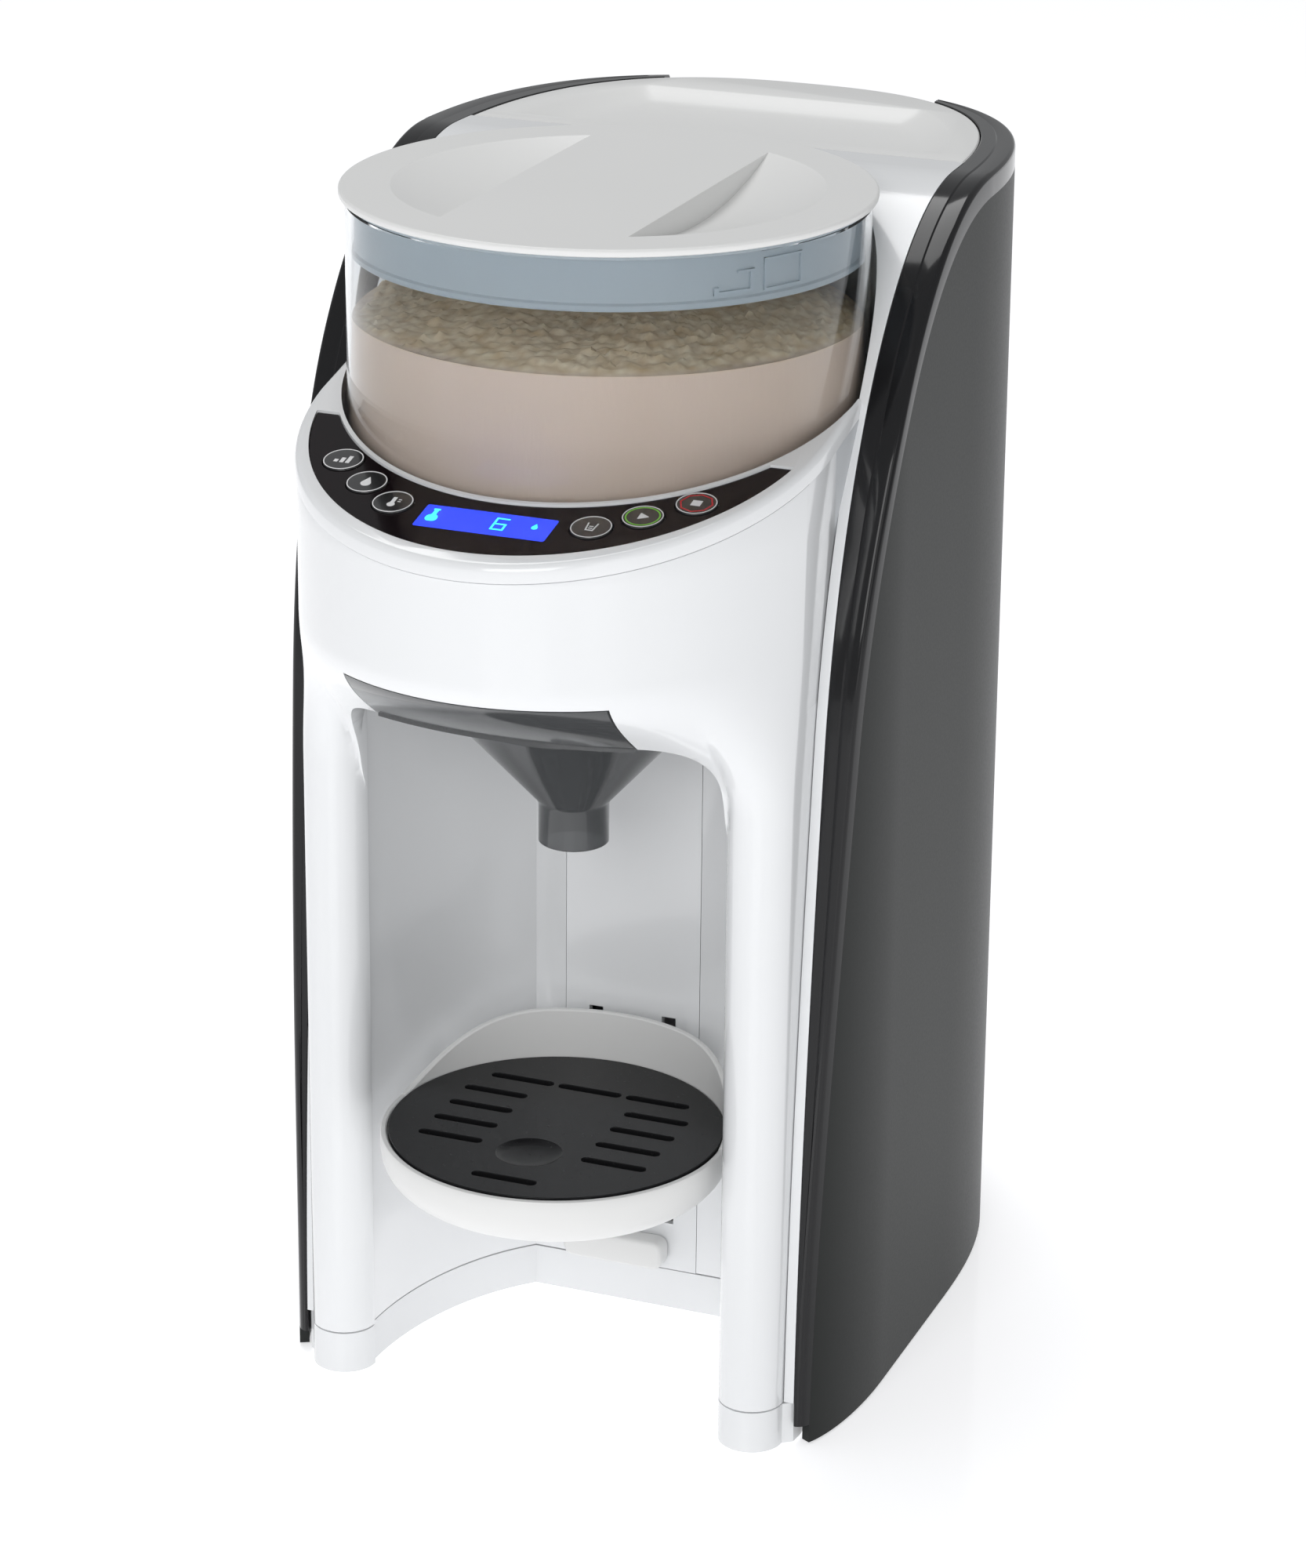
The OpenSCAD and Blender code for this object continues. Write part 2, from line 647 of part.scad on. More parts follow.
module tray_carriage() color(white) {
    // arm under the tray, front plate, tongues through the track and the keeper behind it
    box([-15, -58, grid_z - 24], [15, -14, grid_z - 19.4]);
    box([-19, -14, grid_z - 28], [19, bay_back - gap, grid_z + 8]);
    for (s = [-1, 1]) box([s * 12 - 2, bay_back - gap, grid_z - 24], [s * 12 + 2, -8.2, grid_z - 8]);
    box([-17, -8.2, grid_z - 25], [17, -6, grid_z - 7]);
}
track_low = 40;
track_high = 104;
module tray_track() color(white) difference() {
    box([-22, bay_back, band_z + gap], [22, -8.5, 199.8]);
    for (s = [-1, 1]) box([s * 12 - 2.3, bay_back - over, track_low - 10], [s * 12 + 2.3, -8, track_high - 4]);
    box([-5.3, bay_back - over, 18.7], [11.6, -8, 24.3]);
}
module release_lever() color(white) {
    upright_bar = [[-20, 16.5], [13, 26]];
    rotate([90, 0, 0]) translate([0, 0, -bay_back + gap]) linear_extrude(7) {
        box2([upright_bar[0][0], upright_bar[0][1]], [upright_bar[1][0] - 4.75, upright_bar[1][1]]);
        translate([upright_bar[1][0] - 4.75, (upright_bar[0][1] + upright_bar[1][1]) / 2]) circle(4.75);
    }
    box([-5, bay_back - gap, 19], [5, -8.2, 24]);
    box([-9, -8.2, 17], [9, -6, 26]);
}

// ---------- water tank ----------
hinge_y = 131.6;
hinge_z = 356;
ear_x = 22;
module water_tank() color(smoke) difference() {
    union() {
        difference() {
            upright(tank_z, tank_top) tank_plan();
            upright(tank_z + 2.4, tank_top - 6) tank_plan(2.2);
            upright(tank_top - 7, tank_top + over) tank_plan(8);
        }
        for (s = [-1, 1]) {
            box([s * ear_x - 3, hinge_y - 3.5, tank_top - 5], [s * ear_x + 3, hinge_y + 2.4, hinge_z]);
            translate([s * ear_x - 3, hinge_y, hinge_z]) rotate([0, 90, 0]) cylinder(r = 2.4, h = 6);
        }
    }
    translate([-40, hinge_y, hinge_z]) rotate([0, 90, 0]) cylinder(r = 1.5, h = 80);
    rod([0, valve_y], 5, tank_z - over, tank_z + 4);
}
lid_lip = 1.5;
module tank_lid() color(white) difference() {
    union() {
        upright(deck_z - lid_lip, deck_z) lid_plan(12);
        // set back under its lip beside the hinge, so that it clears the edge trims as it swings
        upright(352, deck_z - lid_lip + over) lid_plan(14.2);
        upright(352, deck_z - lid_lip + over) intersection() {
            lid_plan(12);
            box2([1 - rear_window_x, lid_split_y], [rear_window_x - 1, body_d]);
        }
    }
    // finger recess in the top, and a hollow underside
    upright(deck_z - 4, deck_z + over) intersection() {
        lid_plan(27);
        box2([-66, 57], [66, 112]);
    }
    upright(351, deck_z - 7) intersection() {
        lid_plan(16.5);
        box2([-body_w, 53], [body_w, 124]);
    }
    for (s = [-1, 1]) box([s * ear_x - 3.4, hinge_y - 6, 350], [s * ear_x + 3.4, rear_y, hinge_z + 3]);
    translate([-40, hinge_y, hinge_z]) rotate([0, 90, 0]) cylinder(r = 1.55, h = 80);
}
module lid_hinge_pin() color(steel) translate([-ear_x - 6, hinge_y, hinge_z])
    rotate([0, 90, 0]) cylinder(r = 1.5, h = 2 * ear_x + 12);
module tank_valve() color(white) difference() {
    union() {
        rod([0, valve_y], 8.6, tank_z - 9, tank_z);
        rod([0, valve_y], 4.9, tank_z, tank_z + 8);
    }
    rod([0, valve_y], 2, 90, tank_z + 6);
}
module valve_seal() color("darkorange") difference() {
    rod([0, valve_y], 9.3, 104.1, 106.6);
    rod([0, valve_y], 5, 100, 110);
}

// ---------- water and electrical parts ----------
pump_at = [-40, 100];
heater_x = 8;
module water_pump() color("dimgray") {
    rod(pump_at, 15, 18, 58);
    rod(pump_at, 9, 58, 66);
    rod(pump_at, 3, 66, 74);
    box([pump_at[0] + 6, pump_at[1] - 17.9, 22], [hose_x + 4, pump_at[1] - 10, 34]);
}
module water_heater() color(steel) {
    difference() {
        box([heater_x - 30, 18, 60], [heater_x + 30, 54, 108]);
        for (i = [0:4]) box([heater_x - 24 + 10 * i, 17, 66], [heater_x - 20 + 10 * i, 22, 102]);
    }
    rod([heater_x - 20, 36], 3, 50, 60);
    rod([heater_x + 20, 36], 3, 108, 118);
}
// A hose of straight runs with a ball at each bend
module pipe(points, r) {
    for (i = [0:len(points) - 2]) {
        v = points[i + 1] - points[i];
        translate(points[i]) rotate([0, acos(v[2] / norm(v)), atan2(v[1], v[0])]) cylinder(r = r, h = norm(v));
    }
    for (i = [1:1:len(points) - 2]) translate(points[i]) sphere(r + 0.2);
}
hose_r = 3.2;
module suction_hose() color("whitesmoke")
    pipe([[0, valve_y, 99.9], [0, valve_y, 88], [0, pump_at[1], 88], [pump_at[0], pump_at[1], 88],
          [pump_at[0], pump_at[1], 74.1]], hose_r);
hose_x = heater_x - 20;
module pressure_hose() color("whitesmoke")
    pipe([[hose_x, pump_at[1] - 18, 28], [hose_x, 36, 28], [hose_x, 36, 49.9]], hose_r);
module nozzle_hose() color("whitesmoke")
    pipe([[heater_x + 20, 36, 118.1], [heater_x + 20, 36, 233], [heater_x + 20, nozzle_at[1], 233],
          [nozzle_at[0] + 3.7, nozzle_at[1], 233]], hose_r);
module power_board() color("seagreen") {
    box([6, 76, 18], [60, 112, 19.6]);
    box([10, 80, 19.6], [34, 106, 40]);
    for (i = [0:1]) rod([42 + 9 * i, 88], 4, 19.6, 38);
    box([38, 98, 19.6], [56, 108, 30]);
}
module main_board() color("seagreen") {
    box([-62, 60, 128], [62, 61.6, 216]);
    box([-20, 57.4, 160], [4, 60, 184]);
    box([24, 50, 190], [40, 60, 206]);
    for (i = [0:3]) box([-56 + 14 * i, 54, 134], [-48 + 14 * i, 60, 142]);
}
inlet_y = 142.4;
module power_inlet() color("#202020") difference() {
    box([inlet_at[0] - 14, 122, inlet_at[1] - 10], [inlet_at[0] + 14, inlet_y, inlet_at[1] + 10]);
    box([inlet_at[0] - 10, 128, inlet_at[1] - 6], [inlet_at[0] + 10, body_d, inlet_at[1] + 6]);
}
module inlet_pins() color("gold") for (s = [-1, 1]) translate([inlet_at[0] + 4.3 * s, 128, inlet_at[1]])
    rotate([-90, 0, 0]) cylinder(r = 1.2, h = 11);
module switch_housing() color("#202020") difference() {
    box([switch_at[0] - 8, 122, switch_at[1] - 11], [switch_at[0] + 8, inlet_y, switch_at[1] + 11]);
    box([switch_at[0] - 6, 130, switch_at[1] - 9], [switch_at[0] + 6, body_d, switch_at[1] + 9]);
}
rocker_y = 137;
module power_rocker() color("#303030") translate([switch_at[0], rocker_y, switch_at[1]]) rotate([90, 0, 90]) {
    linear_extrude(11, center = true)
        polygon([[-3, -5], [3.5, -8], [5.2, -7.6], [3.8, 0], [6.6, 7.6], [5.2, 8], [-3, 5]]);
    // pivots in the housing's side walls
    cylinder(r = 1.5, h = 11.8, center = true);
}

front_housing();
main_housing();
base_band();
bottom_cover();
rubber_feet();
housing_screws();
side_panel_left();
side_panel_right();
edge_trim_left();
edge_trim_right();
rear_cover();
rear_frame();
container_seat();
powder_chute();
panel_frame();
control_lens();
display_module();
button_board();
strength_button();
water_button();
warmth_button();
amount_button();
start_button();
stop_button();
powder_container();
lid_collar();
container_lid();
formula_powder();
dosing_wheel();
stirrer();
drive_gear();
idler_gear();
motor_pinion();
gear_plate();
gear_pins();
drive_motor();
motor_shaft();
funnel();
water_nozzle();
drip_tray();
drip_grid();
tray_carriage();
tray_track();
release_lever();
water_tank();
tank_lid();
lid_hinge_pin();
tank_valve();
valve_seal();
water_pump();
water_heater();
suction_hose();
pressure_hose();
nozzle_hose();
power_board();
main_board();
power_inlet();
inlet_pins();
switch_housing();
power_rocker();
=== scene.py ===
"""Models a countertop formula dispenser around its fixed frame.

Outlines and heights are in millimetres in the frame's own axes, and are turned to metres as points are placed.
"""

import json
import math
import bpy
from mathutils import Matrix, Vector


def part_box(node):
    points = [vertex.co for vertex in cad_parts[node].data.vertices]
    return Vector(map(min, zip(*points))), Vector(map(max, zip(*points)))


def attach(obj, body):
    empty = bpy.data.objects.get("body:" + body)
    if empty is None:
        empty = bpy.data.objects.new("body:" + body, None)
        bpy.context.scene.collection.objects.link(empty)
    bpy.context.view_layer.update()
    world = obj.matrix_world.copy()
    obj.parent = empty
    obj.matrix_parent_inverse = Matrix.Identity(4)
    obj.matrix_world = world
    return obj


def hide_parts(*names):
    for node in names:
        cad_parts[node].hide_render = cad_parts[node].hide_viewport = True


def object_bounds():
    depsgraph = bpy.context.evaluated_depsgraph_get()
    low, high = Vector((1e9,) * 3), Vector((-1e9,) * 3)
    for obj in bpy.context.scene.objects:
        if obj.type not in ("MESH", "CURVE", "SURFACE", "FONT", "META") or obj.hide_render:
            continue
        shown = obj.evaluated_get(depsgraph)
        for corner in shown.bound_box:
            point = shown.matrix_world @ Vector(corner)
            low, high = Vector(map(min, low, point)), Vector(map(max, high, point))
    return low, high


bl_info = {
    "name": "Formula Dispenser",
    "version": (1, 0, 0),
    "blender": (4, 5, 0),
    "location": "View3D > Sidebar > Dispenser",
    "description": "Housings, container, funnel, tray and panel of a formula dispenser",
    "category": "Add Mesh",
}

import bpy
from bpy.props import FloatProperty, FloatVectorProperty, PointerProperty
from mathutils import Matrix, Vector, noise

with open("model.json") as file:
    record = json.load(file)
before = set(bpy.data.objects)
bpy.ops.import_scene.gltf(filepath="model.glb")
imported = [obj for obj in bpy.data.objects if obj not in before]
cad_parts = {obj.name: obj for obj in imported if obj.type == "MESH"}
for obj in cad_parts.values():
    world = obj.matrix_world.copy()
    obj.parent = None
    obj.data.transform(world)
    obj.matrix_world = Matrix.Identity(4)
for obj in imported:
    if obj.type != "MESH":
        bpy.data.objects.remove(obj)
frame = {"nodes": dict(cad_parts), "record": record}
CAD_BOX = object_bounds()
MM = 0.001


def cad(node):
    """Lowest and highest corner of a frame node, in millimetres."""
    low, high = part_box(node)
    return Vector(low) / MM, Vector(high) / MM


# ---------- sizes taken from the frame ----------
HALF_W = CAD_BOX[1].x / MM
REAR_Y = CAD_BOX[1].y / MM
FRONT_Y = CAD_BOX[0].y / MM
DECK_Z = cad("edge_trim_right")[1].z
FOOT_Z = cad("base_band")[0].z
BAND_Z = cad("base_band")[1].z
CONTAINER_LOW, CONTAINER_HIGH = cad("powder_container")
CONTAINER_R = CONTAINER_HIGH.x
CONTAINER_Y = (CONTAINER_LOW.y + CONTAINER_HIGH.y) / 2
LID_HIGH = cad("container_lid")[1]
SPOUT_LOW = cad("funnel")[0]
GRID_LOW, GRID_HIGH = cad("drip_grid")
GRID_R = GRID_HIGH.x
GRID_Y = (GRID_LOW.y + GRID_HIGH.y) / 2
BORE_R = 76.6
OUTLET_Y = CONTAINER_Y - 24.45

# Outline of the side shells: soft front corner, flat side, full rounded rear
CORNER_X, CORNER_Y, CORNER_RX, CORNER_RY = 77.9, -32.0, 13.1, 50.0
REAR_START, REAR_POWER = 25.0, 2.6
BAND_INSET = 11.5
REAR_LEAN = 0.08
WINDOW_X = 45.0

# Head, columns and bottle bay
HEAD_Y, HEAD_RX, HEAD_RY, HEAD_X = -60.0, 77.3, 85.5, 76.1
NOSE_X, NOSE_Y, NOSE_R = 66.3, -80.4, 9.8
BAY_Y, BAY_RX, BAY_RY, BAY_BACK = -80.0, 57.7, 83.0, -11.0
MOUTH_X, ARCH_Z, ARCH_R, CEILING_Z = 56.5, 225.4, 18.0, 226.0
COLUMN_REAR = -8.6
PANEL_SLOPE, PANEL_Z0, FRAME_H = 0.2325, 318.87, 4.5
PANEL_TILT = math.atan(PANEL_SLOPE)
STRIP_X, HOUSING_X, DECK_FRONT, LID_SPLIT, SHELF_Y = 76.4, 79.4, -35.5, 48.4, 68.7

# Chin, and the notch in it that the funnel's front plate closes
CHIN_LOW, CHIN_HIGH, NOTCH_X, NOTCH_LOW, NOTCH_HIGH = 200, 250, 39.8, 217, 244
PLATE_X, PLATE_LOW, PLATE_HIGH = 39.2, 225.6, 243.6
HEAD_WALL, HEAD_FLOOR, WALL = 2.5, 248, 3.0
HINGE_Y, HINGE_Z, HINGE_BORE = 131.6, 356.0, 1.55
POWDER_Z = cad("formula_powder")[1].z


# ---------- modelling ----------
def clear_selection():
    if bpy.context.mode != "OBJECT":
        bpy.ops.object.mode_set(mode="OBJECT")
    bpy.ops.object.select_all(action="DESELECT")


def pick(*objects):
    clear_selection()
    for obj in objects:
        obj.select_set(True)
    bpy.context.view_layer.objects.active = objects[0]


def edit(obj):
    pick(obj)
    bpy.ops.object.mode_set(mode="EDIT")
    bpy.ops.mesh.select_all(action="SELECT")


def leave_edit():
    bpy.ops.object.mode_set(mode="OBJECT")


def weld(obj, merge=0.00001):
    edit(obj)
    bpy.ops.mesh.remove_doubles(threshold=merge)
    bpy.ops.mesh.dissolve_degenerate(threshold=merge / 2)
    bpy.ops.mesh.normals_make_consistent(inside=False)
    leave_edit()
    return obj


def block(outline, low, high, axis="z"):
    """A filled outline pulled up into a solid along one axis."""
    clear_selection()
    bpy.ops.mesh.primitive_circle_add(vertices=len(outline), radius=1, fill_type="NGON")
    obj = bpy.context.object
    place = {"x": lambda a, b: (low, a, b), "y": lambda a, b: (a, low, b), "z": lambda a, b: (a, b, low)}[axis]
    for vertex, (a, b) in zip(obj.data.vertices, outline):
        vertex.co = Vector(place(a, b)) * MM
    edit(obj)
    step = (high - low) * MM
    pull = {"x": (step, 0, 0), "y": (0, step, 0), "z": (0, 0, step)}[axis]
    bpy.ops.mesh.extrude_region_move(TRANSFORM_OT_translate={"value": pull})
    leave_edit()
    return weld(obj)


def brick(low, high):
    (x0, y0, z0), (x1, y1, z1) = low, high
    return block([(x0, y0), (x1, y0), (x1, y1), (x0, y1)], z0, z1)


def disc(x, y, radius, low, high, steps=64):
    return block([(x + radius * math.cos(a), y + radius * math.sin(a)) for a in turn(steps)], low, high)


def turn(steps):
    return [math.tau * i / steps for i in range(steps)]


def arc(radius, x, y, first, last, count):
    """Points on an arc between two angles in degrees."""
    return [(x + radius * math.cos(math.radians(a)), y + radius * math.sin(math.radians(a)))
            for a in steps_between(first, last, count)]


def cloth_of_rows(rows):
    """A grid whose crossings lie on rows of points."""
    clear_selection()
    bpy.ops.mesh.primitive_grid_add(x_subdivisions=len(rows[0]) - 1, y_subdivisions=len(rows) - 1, size=1)
    obj = bpy.context.object
    obj.data.vertices.foreach_set("co", [c * MM for row in rows for point in row for c in point])
    obj.data.update()
    return obj


def hull_of_rings(rings):
    """A closed solid through rings of points, capped at both ends."""
    obj = cloth_of_rows([list(ring) + [ring[0]] for ring in rings])
    edit(obj)
    bpy.ops.mesh.remove_doubles(threshold=0.000005)
    bpy.ops.mesh.select_all(action="DESELECT")
    bpy.ops.mesh.select_mode(type="EDGE")
    bpy.ops.mesh.select_non_manifold(extend=False, use_wire=False, use_multi_face=False, use_non_contiguous=False,
                                     use_verts=False)
    bpy.ops.mesh.fill_holes(sides=0)
    bpy.ops.mesh.select_all(action="SELECT")
    bpy.ops.mesh.normals_make_consistent(inside=False)
    leave_edit()
    return obj


def lathe(profile, x, y, steps=128, closed=False):
    """A radius and height profile spun round an upright axis."""
    clear_selection()
    count = len(profile)
    bpy.ops.mesh.primitive_circle_add(vertices=count, radius=1, fill_type="NOTHING")
    obj = bpy.context.object
    for vertex, (radius, z) in zip(obj.data.vertices, profile):
        vertex.co = (radius * MM, 0, z * MM)
    edit(obj)
    if not closed:
        bpy.ops.mesh.select_mode(type="EDGE")
        bpy.ops.mesh.select_all(action="DESELECT")
        leave_edit()
        for edge in obj.data.edges:
            edge.select = set(edge.vertices) == {0, count - 1}
        bpy.ops.object.mode_set(mode="EDIT")
        bpy.ops.mesh.delete(type="EDGE")
        bpy.ops.mesh.select_all(action="SELECT")
    bpy.ops.mesh.spin(steps=steps, angle=math.tau, center=(0, 0, 0), axis=(0, 0, 1), use_auto_merge=True)
    bpy.ops.mesh.select_all(action="SELECT")
    bpy.ops.transform.translate(value=(x * MM, y * MM, 0))
    leave_edit()
    return weld(obj)


def carve(obj, *tools, mode="DIFFERENCE"):
    """Cuts each tool out of a piece, or joins or keeps the shared part."""
    for tool in tools:
        pick(obj)
        step = obj.modifiers.new("carve", "BOOLEAN")
        step.object, step.operation, step.solver = tool, mode, "EXACT"
        bpy.ops.object.modifier_apply(modifier=step.name)
        bpy.data.objects.remove(tool)
    if not obj.data.polygons:
        raise RuntimeError(f"carving left nothing of {obj.name}")
    return weld(obj, 0.000004)


def soften(obj, width, segments=2, angle=50):
    """Rounds the sharp edges of a piece."""
    pick(obj)
    step = obj.modifiers.new("soften", "BEVEL")
    step.width, step.segments, step.limit_method = width * MM, segments, "ANGLE"
    step.angle_limit = math.radians(angle)
    bpy.ops.object.modifier_apply(modifier=step.name)
    return obj


def thicken(obj, thickness):
    """Gives a sheet its wall, inwards."""
    pick(obj)
    step = obj.modifiers.new("wall", "SOLIDIFY")
    step.thickness, step.offset, step.use_even_offset = thickness * MM, -1, True
    bpy.ops.object.modifier_apply(modifier=step.name)
    return obj


def join(obj, *others):
    pick(obj, *others)
    bpy.ops.object.join()
    return bpy.context.object


def mirrored(obj):
    """A copy of a piece on the other side of the middle."""
    pick(obj)
    bpy.ops.object.duplicate(linked=False)
    copy = bpy.context.object
    edit(copy)
    bpy.ops.transform.resize(value=(-1, 1, 1), center_override=(0, 0, 0))
    bpy.ops.mesh.normals_make_consistent(inside=False)
    leave_edit()
    return copy


def face_out(obj, axis, sample=0):
    """Turns a sheet over if it faces backwards along an axis."""
    if obj.data.polygons[sample].normal[axis] < 0:
        edit(obj)
        bpy.ops.mesh.flip_normals()
        leave_edit()


def settle(obj, name, body, slot, node, paint=None, smooth=32, even=False, painted=False):
    """Names, shades and paints a finished piece (with its slot's finish unless another is named), puts it on its body,
    and hides the frame node it stands for.
    """
    pick(obj)
    obj.name = obj.data.name = name
    if not painted:
        obj.data.materials.clear()
        obj.data.materials.append(PAINT[paint or slot])
    bpy.ops.object.shade_smooth_by_angle(angle=math.radians(smooth))
    if even:
        step = obj.modifiers.new("even", "WEIGHTED_NORMAL")
        step.keep_sharp, step.weight = True, 100
        bpy.ops.object.modifier_apply(modifier=step.name)
    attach(obj, body)
    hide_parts(node)


# ---------- outlines ----------
def steps_between(a, b, count):
    return [a + (b - a) * i / count for i in range(count + 1)]


def bezier(points, count):
    """Points along a curve with any number of control points."""
    line = []
    for t in steps_between(0, 1, count):
        layer = [Vector(p) for p in points]
        while len(layer) > 1:
            layer = [a.lerp(b, t) for a, b in zip(layer, layer[1:])]
        line.append(tuple(layer[0]))
    return line


def shrink(outline, by):
    """An outline moved inwards; it runs counterclockwise."""
    moved = []
    for i, point in enumerate(outline):
        before, after = Vector(outline[i - 1]), Vector(outline[(i + 1) % len(outline)])
        here = Vector(point)
        a, b = (here - before).normalized(), (after - here).normalized()
        normal = Vector((-(a.y + b.y), a.x + b.x)).normalized()
        reach = by / max(0.35, normal.dot(Vector((-b.y, b.x))))
        moved.append(tuple(here + normal * reach))
    return moved


def fillet(outline, radius, steps=6):
    """An outline whose corners are rounded."""
    rounded = []
    for i, point in enumerate(outline):
        here = Vector(point)
        a = Vector(outline[i - 1]) - here
        b = Vector(outline[(i + 1) % len(outline)]) - here
        reach = min(radius, a.length * 0.48, b.length * 0.48)
        rounded += bezier([tuple(here + a.normalized() * reach), point, tuple(here + b.normalized() * reach)], steps)
    return rounded


def mirror_line(points):
    return [(-a, b) for a, b in reversed(points)]


def shell_x(y, inset=0.0):
    """Half width of the side shells at a depth."""
    if y < CORNER_Y:
        ry = CORNER_RY - inset
        return CORNER_X + (CORNER_RX - inset) * math.sqrt(max(0, 1 - ((y - CORNER_Y) / ry) ** 2))
    if y < REAR_START:
        return HALF_W - inset
    share = min(1, (y - REAR_START) / (REAR_Y - REAR_START - inset))
    return (HALF_W - inset) * (1 - share ** REAR_POWER) ** (1 / REAR_POWER)


def rear_line(inset, front=REAR_START, rear_x=0.0, count=40):
    """Right half of the rounded rear, from a depth on the side to a distance from the middle."""
    width, depth = HALF_W - inset, REAR_Y - REAR_START - inset
    first = math.asin(((front - REAR_START) / depth) ** (REAR_POWER / 2))
    last = math.acos((rear_x / width) ** (REAR_POWER / 2))
    return [(width * max(0, math.cos(a)) ** (2 / REAR_POWER), REAR_START + depth * math.sin(a) ** (2 / REAR_POWER))
            for a in steps_between(first, last, count)]


def rear_outline(inset, front):
    """Closed outline of what lies behind a depth, counterclockwise."""
    half = rear_line(inset, front)
    return half + mirror_line(half)[1:]


def leaned(y, z):
    """The rear of the shells leans forward as it rises."""
    return y if y <= REAR_START else REAR_START + (y - REAR_START) * (1 - REAR_LEAN * z / DECK_Z)


def head_y(x, inset=0.0):
    return HEAD_Y - (HEAD_RY - inset) * math.sqrt(max(0, 1 - (x / (HEAD_RX - inset)) ** 2))


def ease(value, low, high):
    t = min(1, max(0, (value - low) / (high - low)))
    return t * t * (3 - 2 * t)


def fascia_y(x, z):
    """Front face: the head above, the round column fronts below, and the chin that blends them."""
    floor = 27 * ease(z, 188, 206) if abs(x) < NOSE_X else 0
    nose = NOSE_Y - math.sqrt(max(floor, NOSE_R ** 2 - (abs(x) - NOSE_X) ** 2))
    share = ease(z, CHIN_LOW, CHIN_HIGH)
    return nose + (head_y(x) - nose) * share


def panel_z(y):
    return PANEL_Z0 + PANEL_SLOPE * y


def bay_outline(grow=0.0, front=None):
    last = math.asin((BAY_BACK - BAY_Y + grow) / (BAY_RY + grow))
    arc = [((BAY_RX + grow) * math.cos(a), BAY_Y + (BAY_RY + grow) * math.sin(a)) for a in steps_between(0, last, 36)]
    half = ([] if front is None else [(MOUTH_X + grow, front), (MOUTH_X + grow, BAY_Y - 0.2)]) + arc
    return half + mirror_line(half)


SHELL_EDGE = (bezier([(-80, 0), (-80, 90), (-65.5, 219)], 26)
              + bezier([(-65.5, 219), (-55.1, 299), (-12, 361), (38, 361)], 56)[1:])
SHELL_INNER = (bezier([(-77.2, 0), (-76.5, 90), (-61, 219)], 26)
               + bezier([(-61, 219), (-50.5, 297), (-10, 354), (40, 354)], 56)[1:])


# ---------- finishes ----------
def add(nodes, kind, **values):
    """A shader node with its inputs set."""
    node = nodes.new("ShaderNode" + kind)
    for name, value in values.items():
        node.inputs[name.replace("_", " ")].default_value = value
    return node


def blend(nodes, first=(0.5, 0.5, 0.5), second=(0.5, 0.5, 0.5)):
    """A mix of two colours."""
    mix = nodes.new("ShaderNodeMix")
    mix.data_type = "RGBA"
    mix.inputs["A"].default_value, mix.inputs["B"].default_value = (*first, 1), (*second, 1)
    return mix


def finish(name, colour, rough, *, second=None, grain=700, depth=0.02, spread=0.04, coat=0.0, metal=0.0,
           clear=0.0, ior=1.46, glow=None, stretch=(1, 1, 1), patch=14):
    """A moulded, painted or metal finish: base colour that drifts a little, uneven roughness and fine grain."""
    material = bpy.data.materials.new(name)
    material.use_nodes = True
    nodes, links = material.node_tree.nodes, material.node_tree.links
    shader = nodes["Principled BSDF"]
    place = add(nodes, "TexCoord")
    mapping = add(nodes, "Mapping", Scale=stretch)
    links.new(place.outputs["Object"], mapping.inputs["Vector"])
    broad = add(nodes, "TexNoise", Scale=patch, Detail=3)
    fine = add(nodes, "TexNoise", Scale=grain, Detail=4)
    for texture in (broad, fine):
        links.new(mapping.outputs["Vector"], texture.inputs["Vector"])
    tint = blend(nodes, colour, second or [c * 0.93 for c in colour])
    links.new(broad.outputs["Fac"], tint.inputs["Factor"])
    links.new(tint.outputs["Result"], shader.inputs["Base Color"])
    uneven = add(nodes, "MapRange", To_Min=max(0.01, rough - spread), To_Max=rough + spread)
    links.new(fine.outputs["Fac"], uneven.inputs["Value"])
    links.new(uneven.outputs["Result"], shader.inputs["Roughness"])
    bump = add(nodes, "Bump", Strength=0.4, Distance=depth * MM)
    links.new(fine.outputs["Fac"], bump.inputs["Height"])
    links.new(bump.outputs["Normal"], shader.inputs["Normal"])
    shader.inputs["Metallic"].default_value = metal
    shader.inputs["Coat Weight"].default_value = coat
    shader.inputs["Coat Roughness"].default_value = 0.06
    shader.inputs["IOR"].default_value = ior
    shader.inputs["Transmission Weight"].default_value = clear
    if glow:
        shader.inputs["Emission Color"].default_value = (*colour, 1)
        shader.inputs["Emission Strength"].default_value = glow
    return material


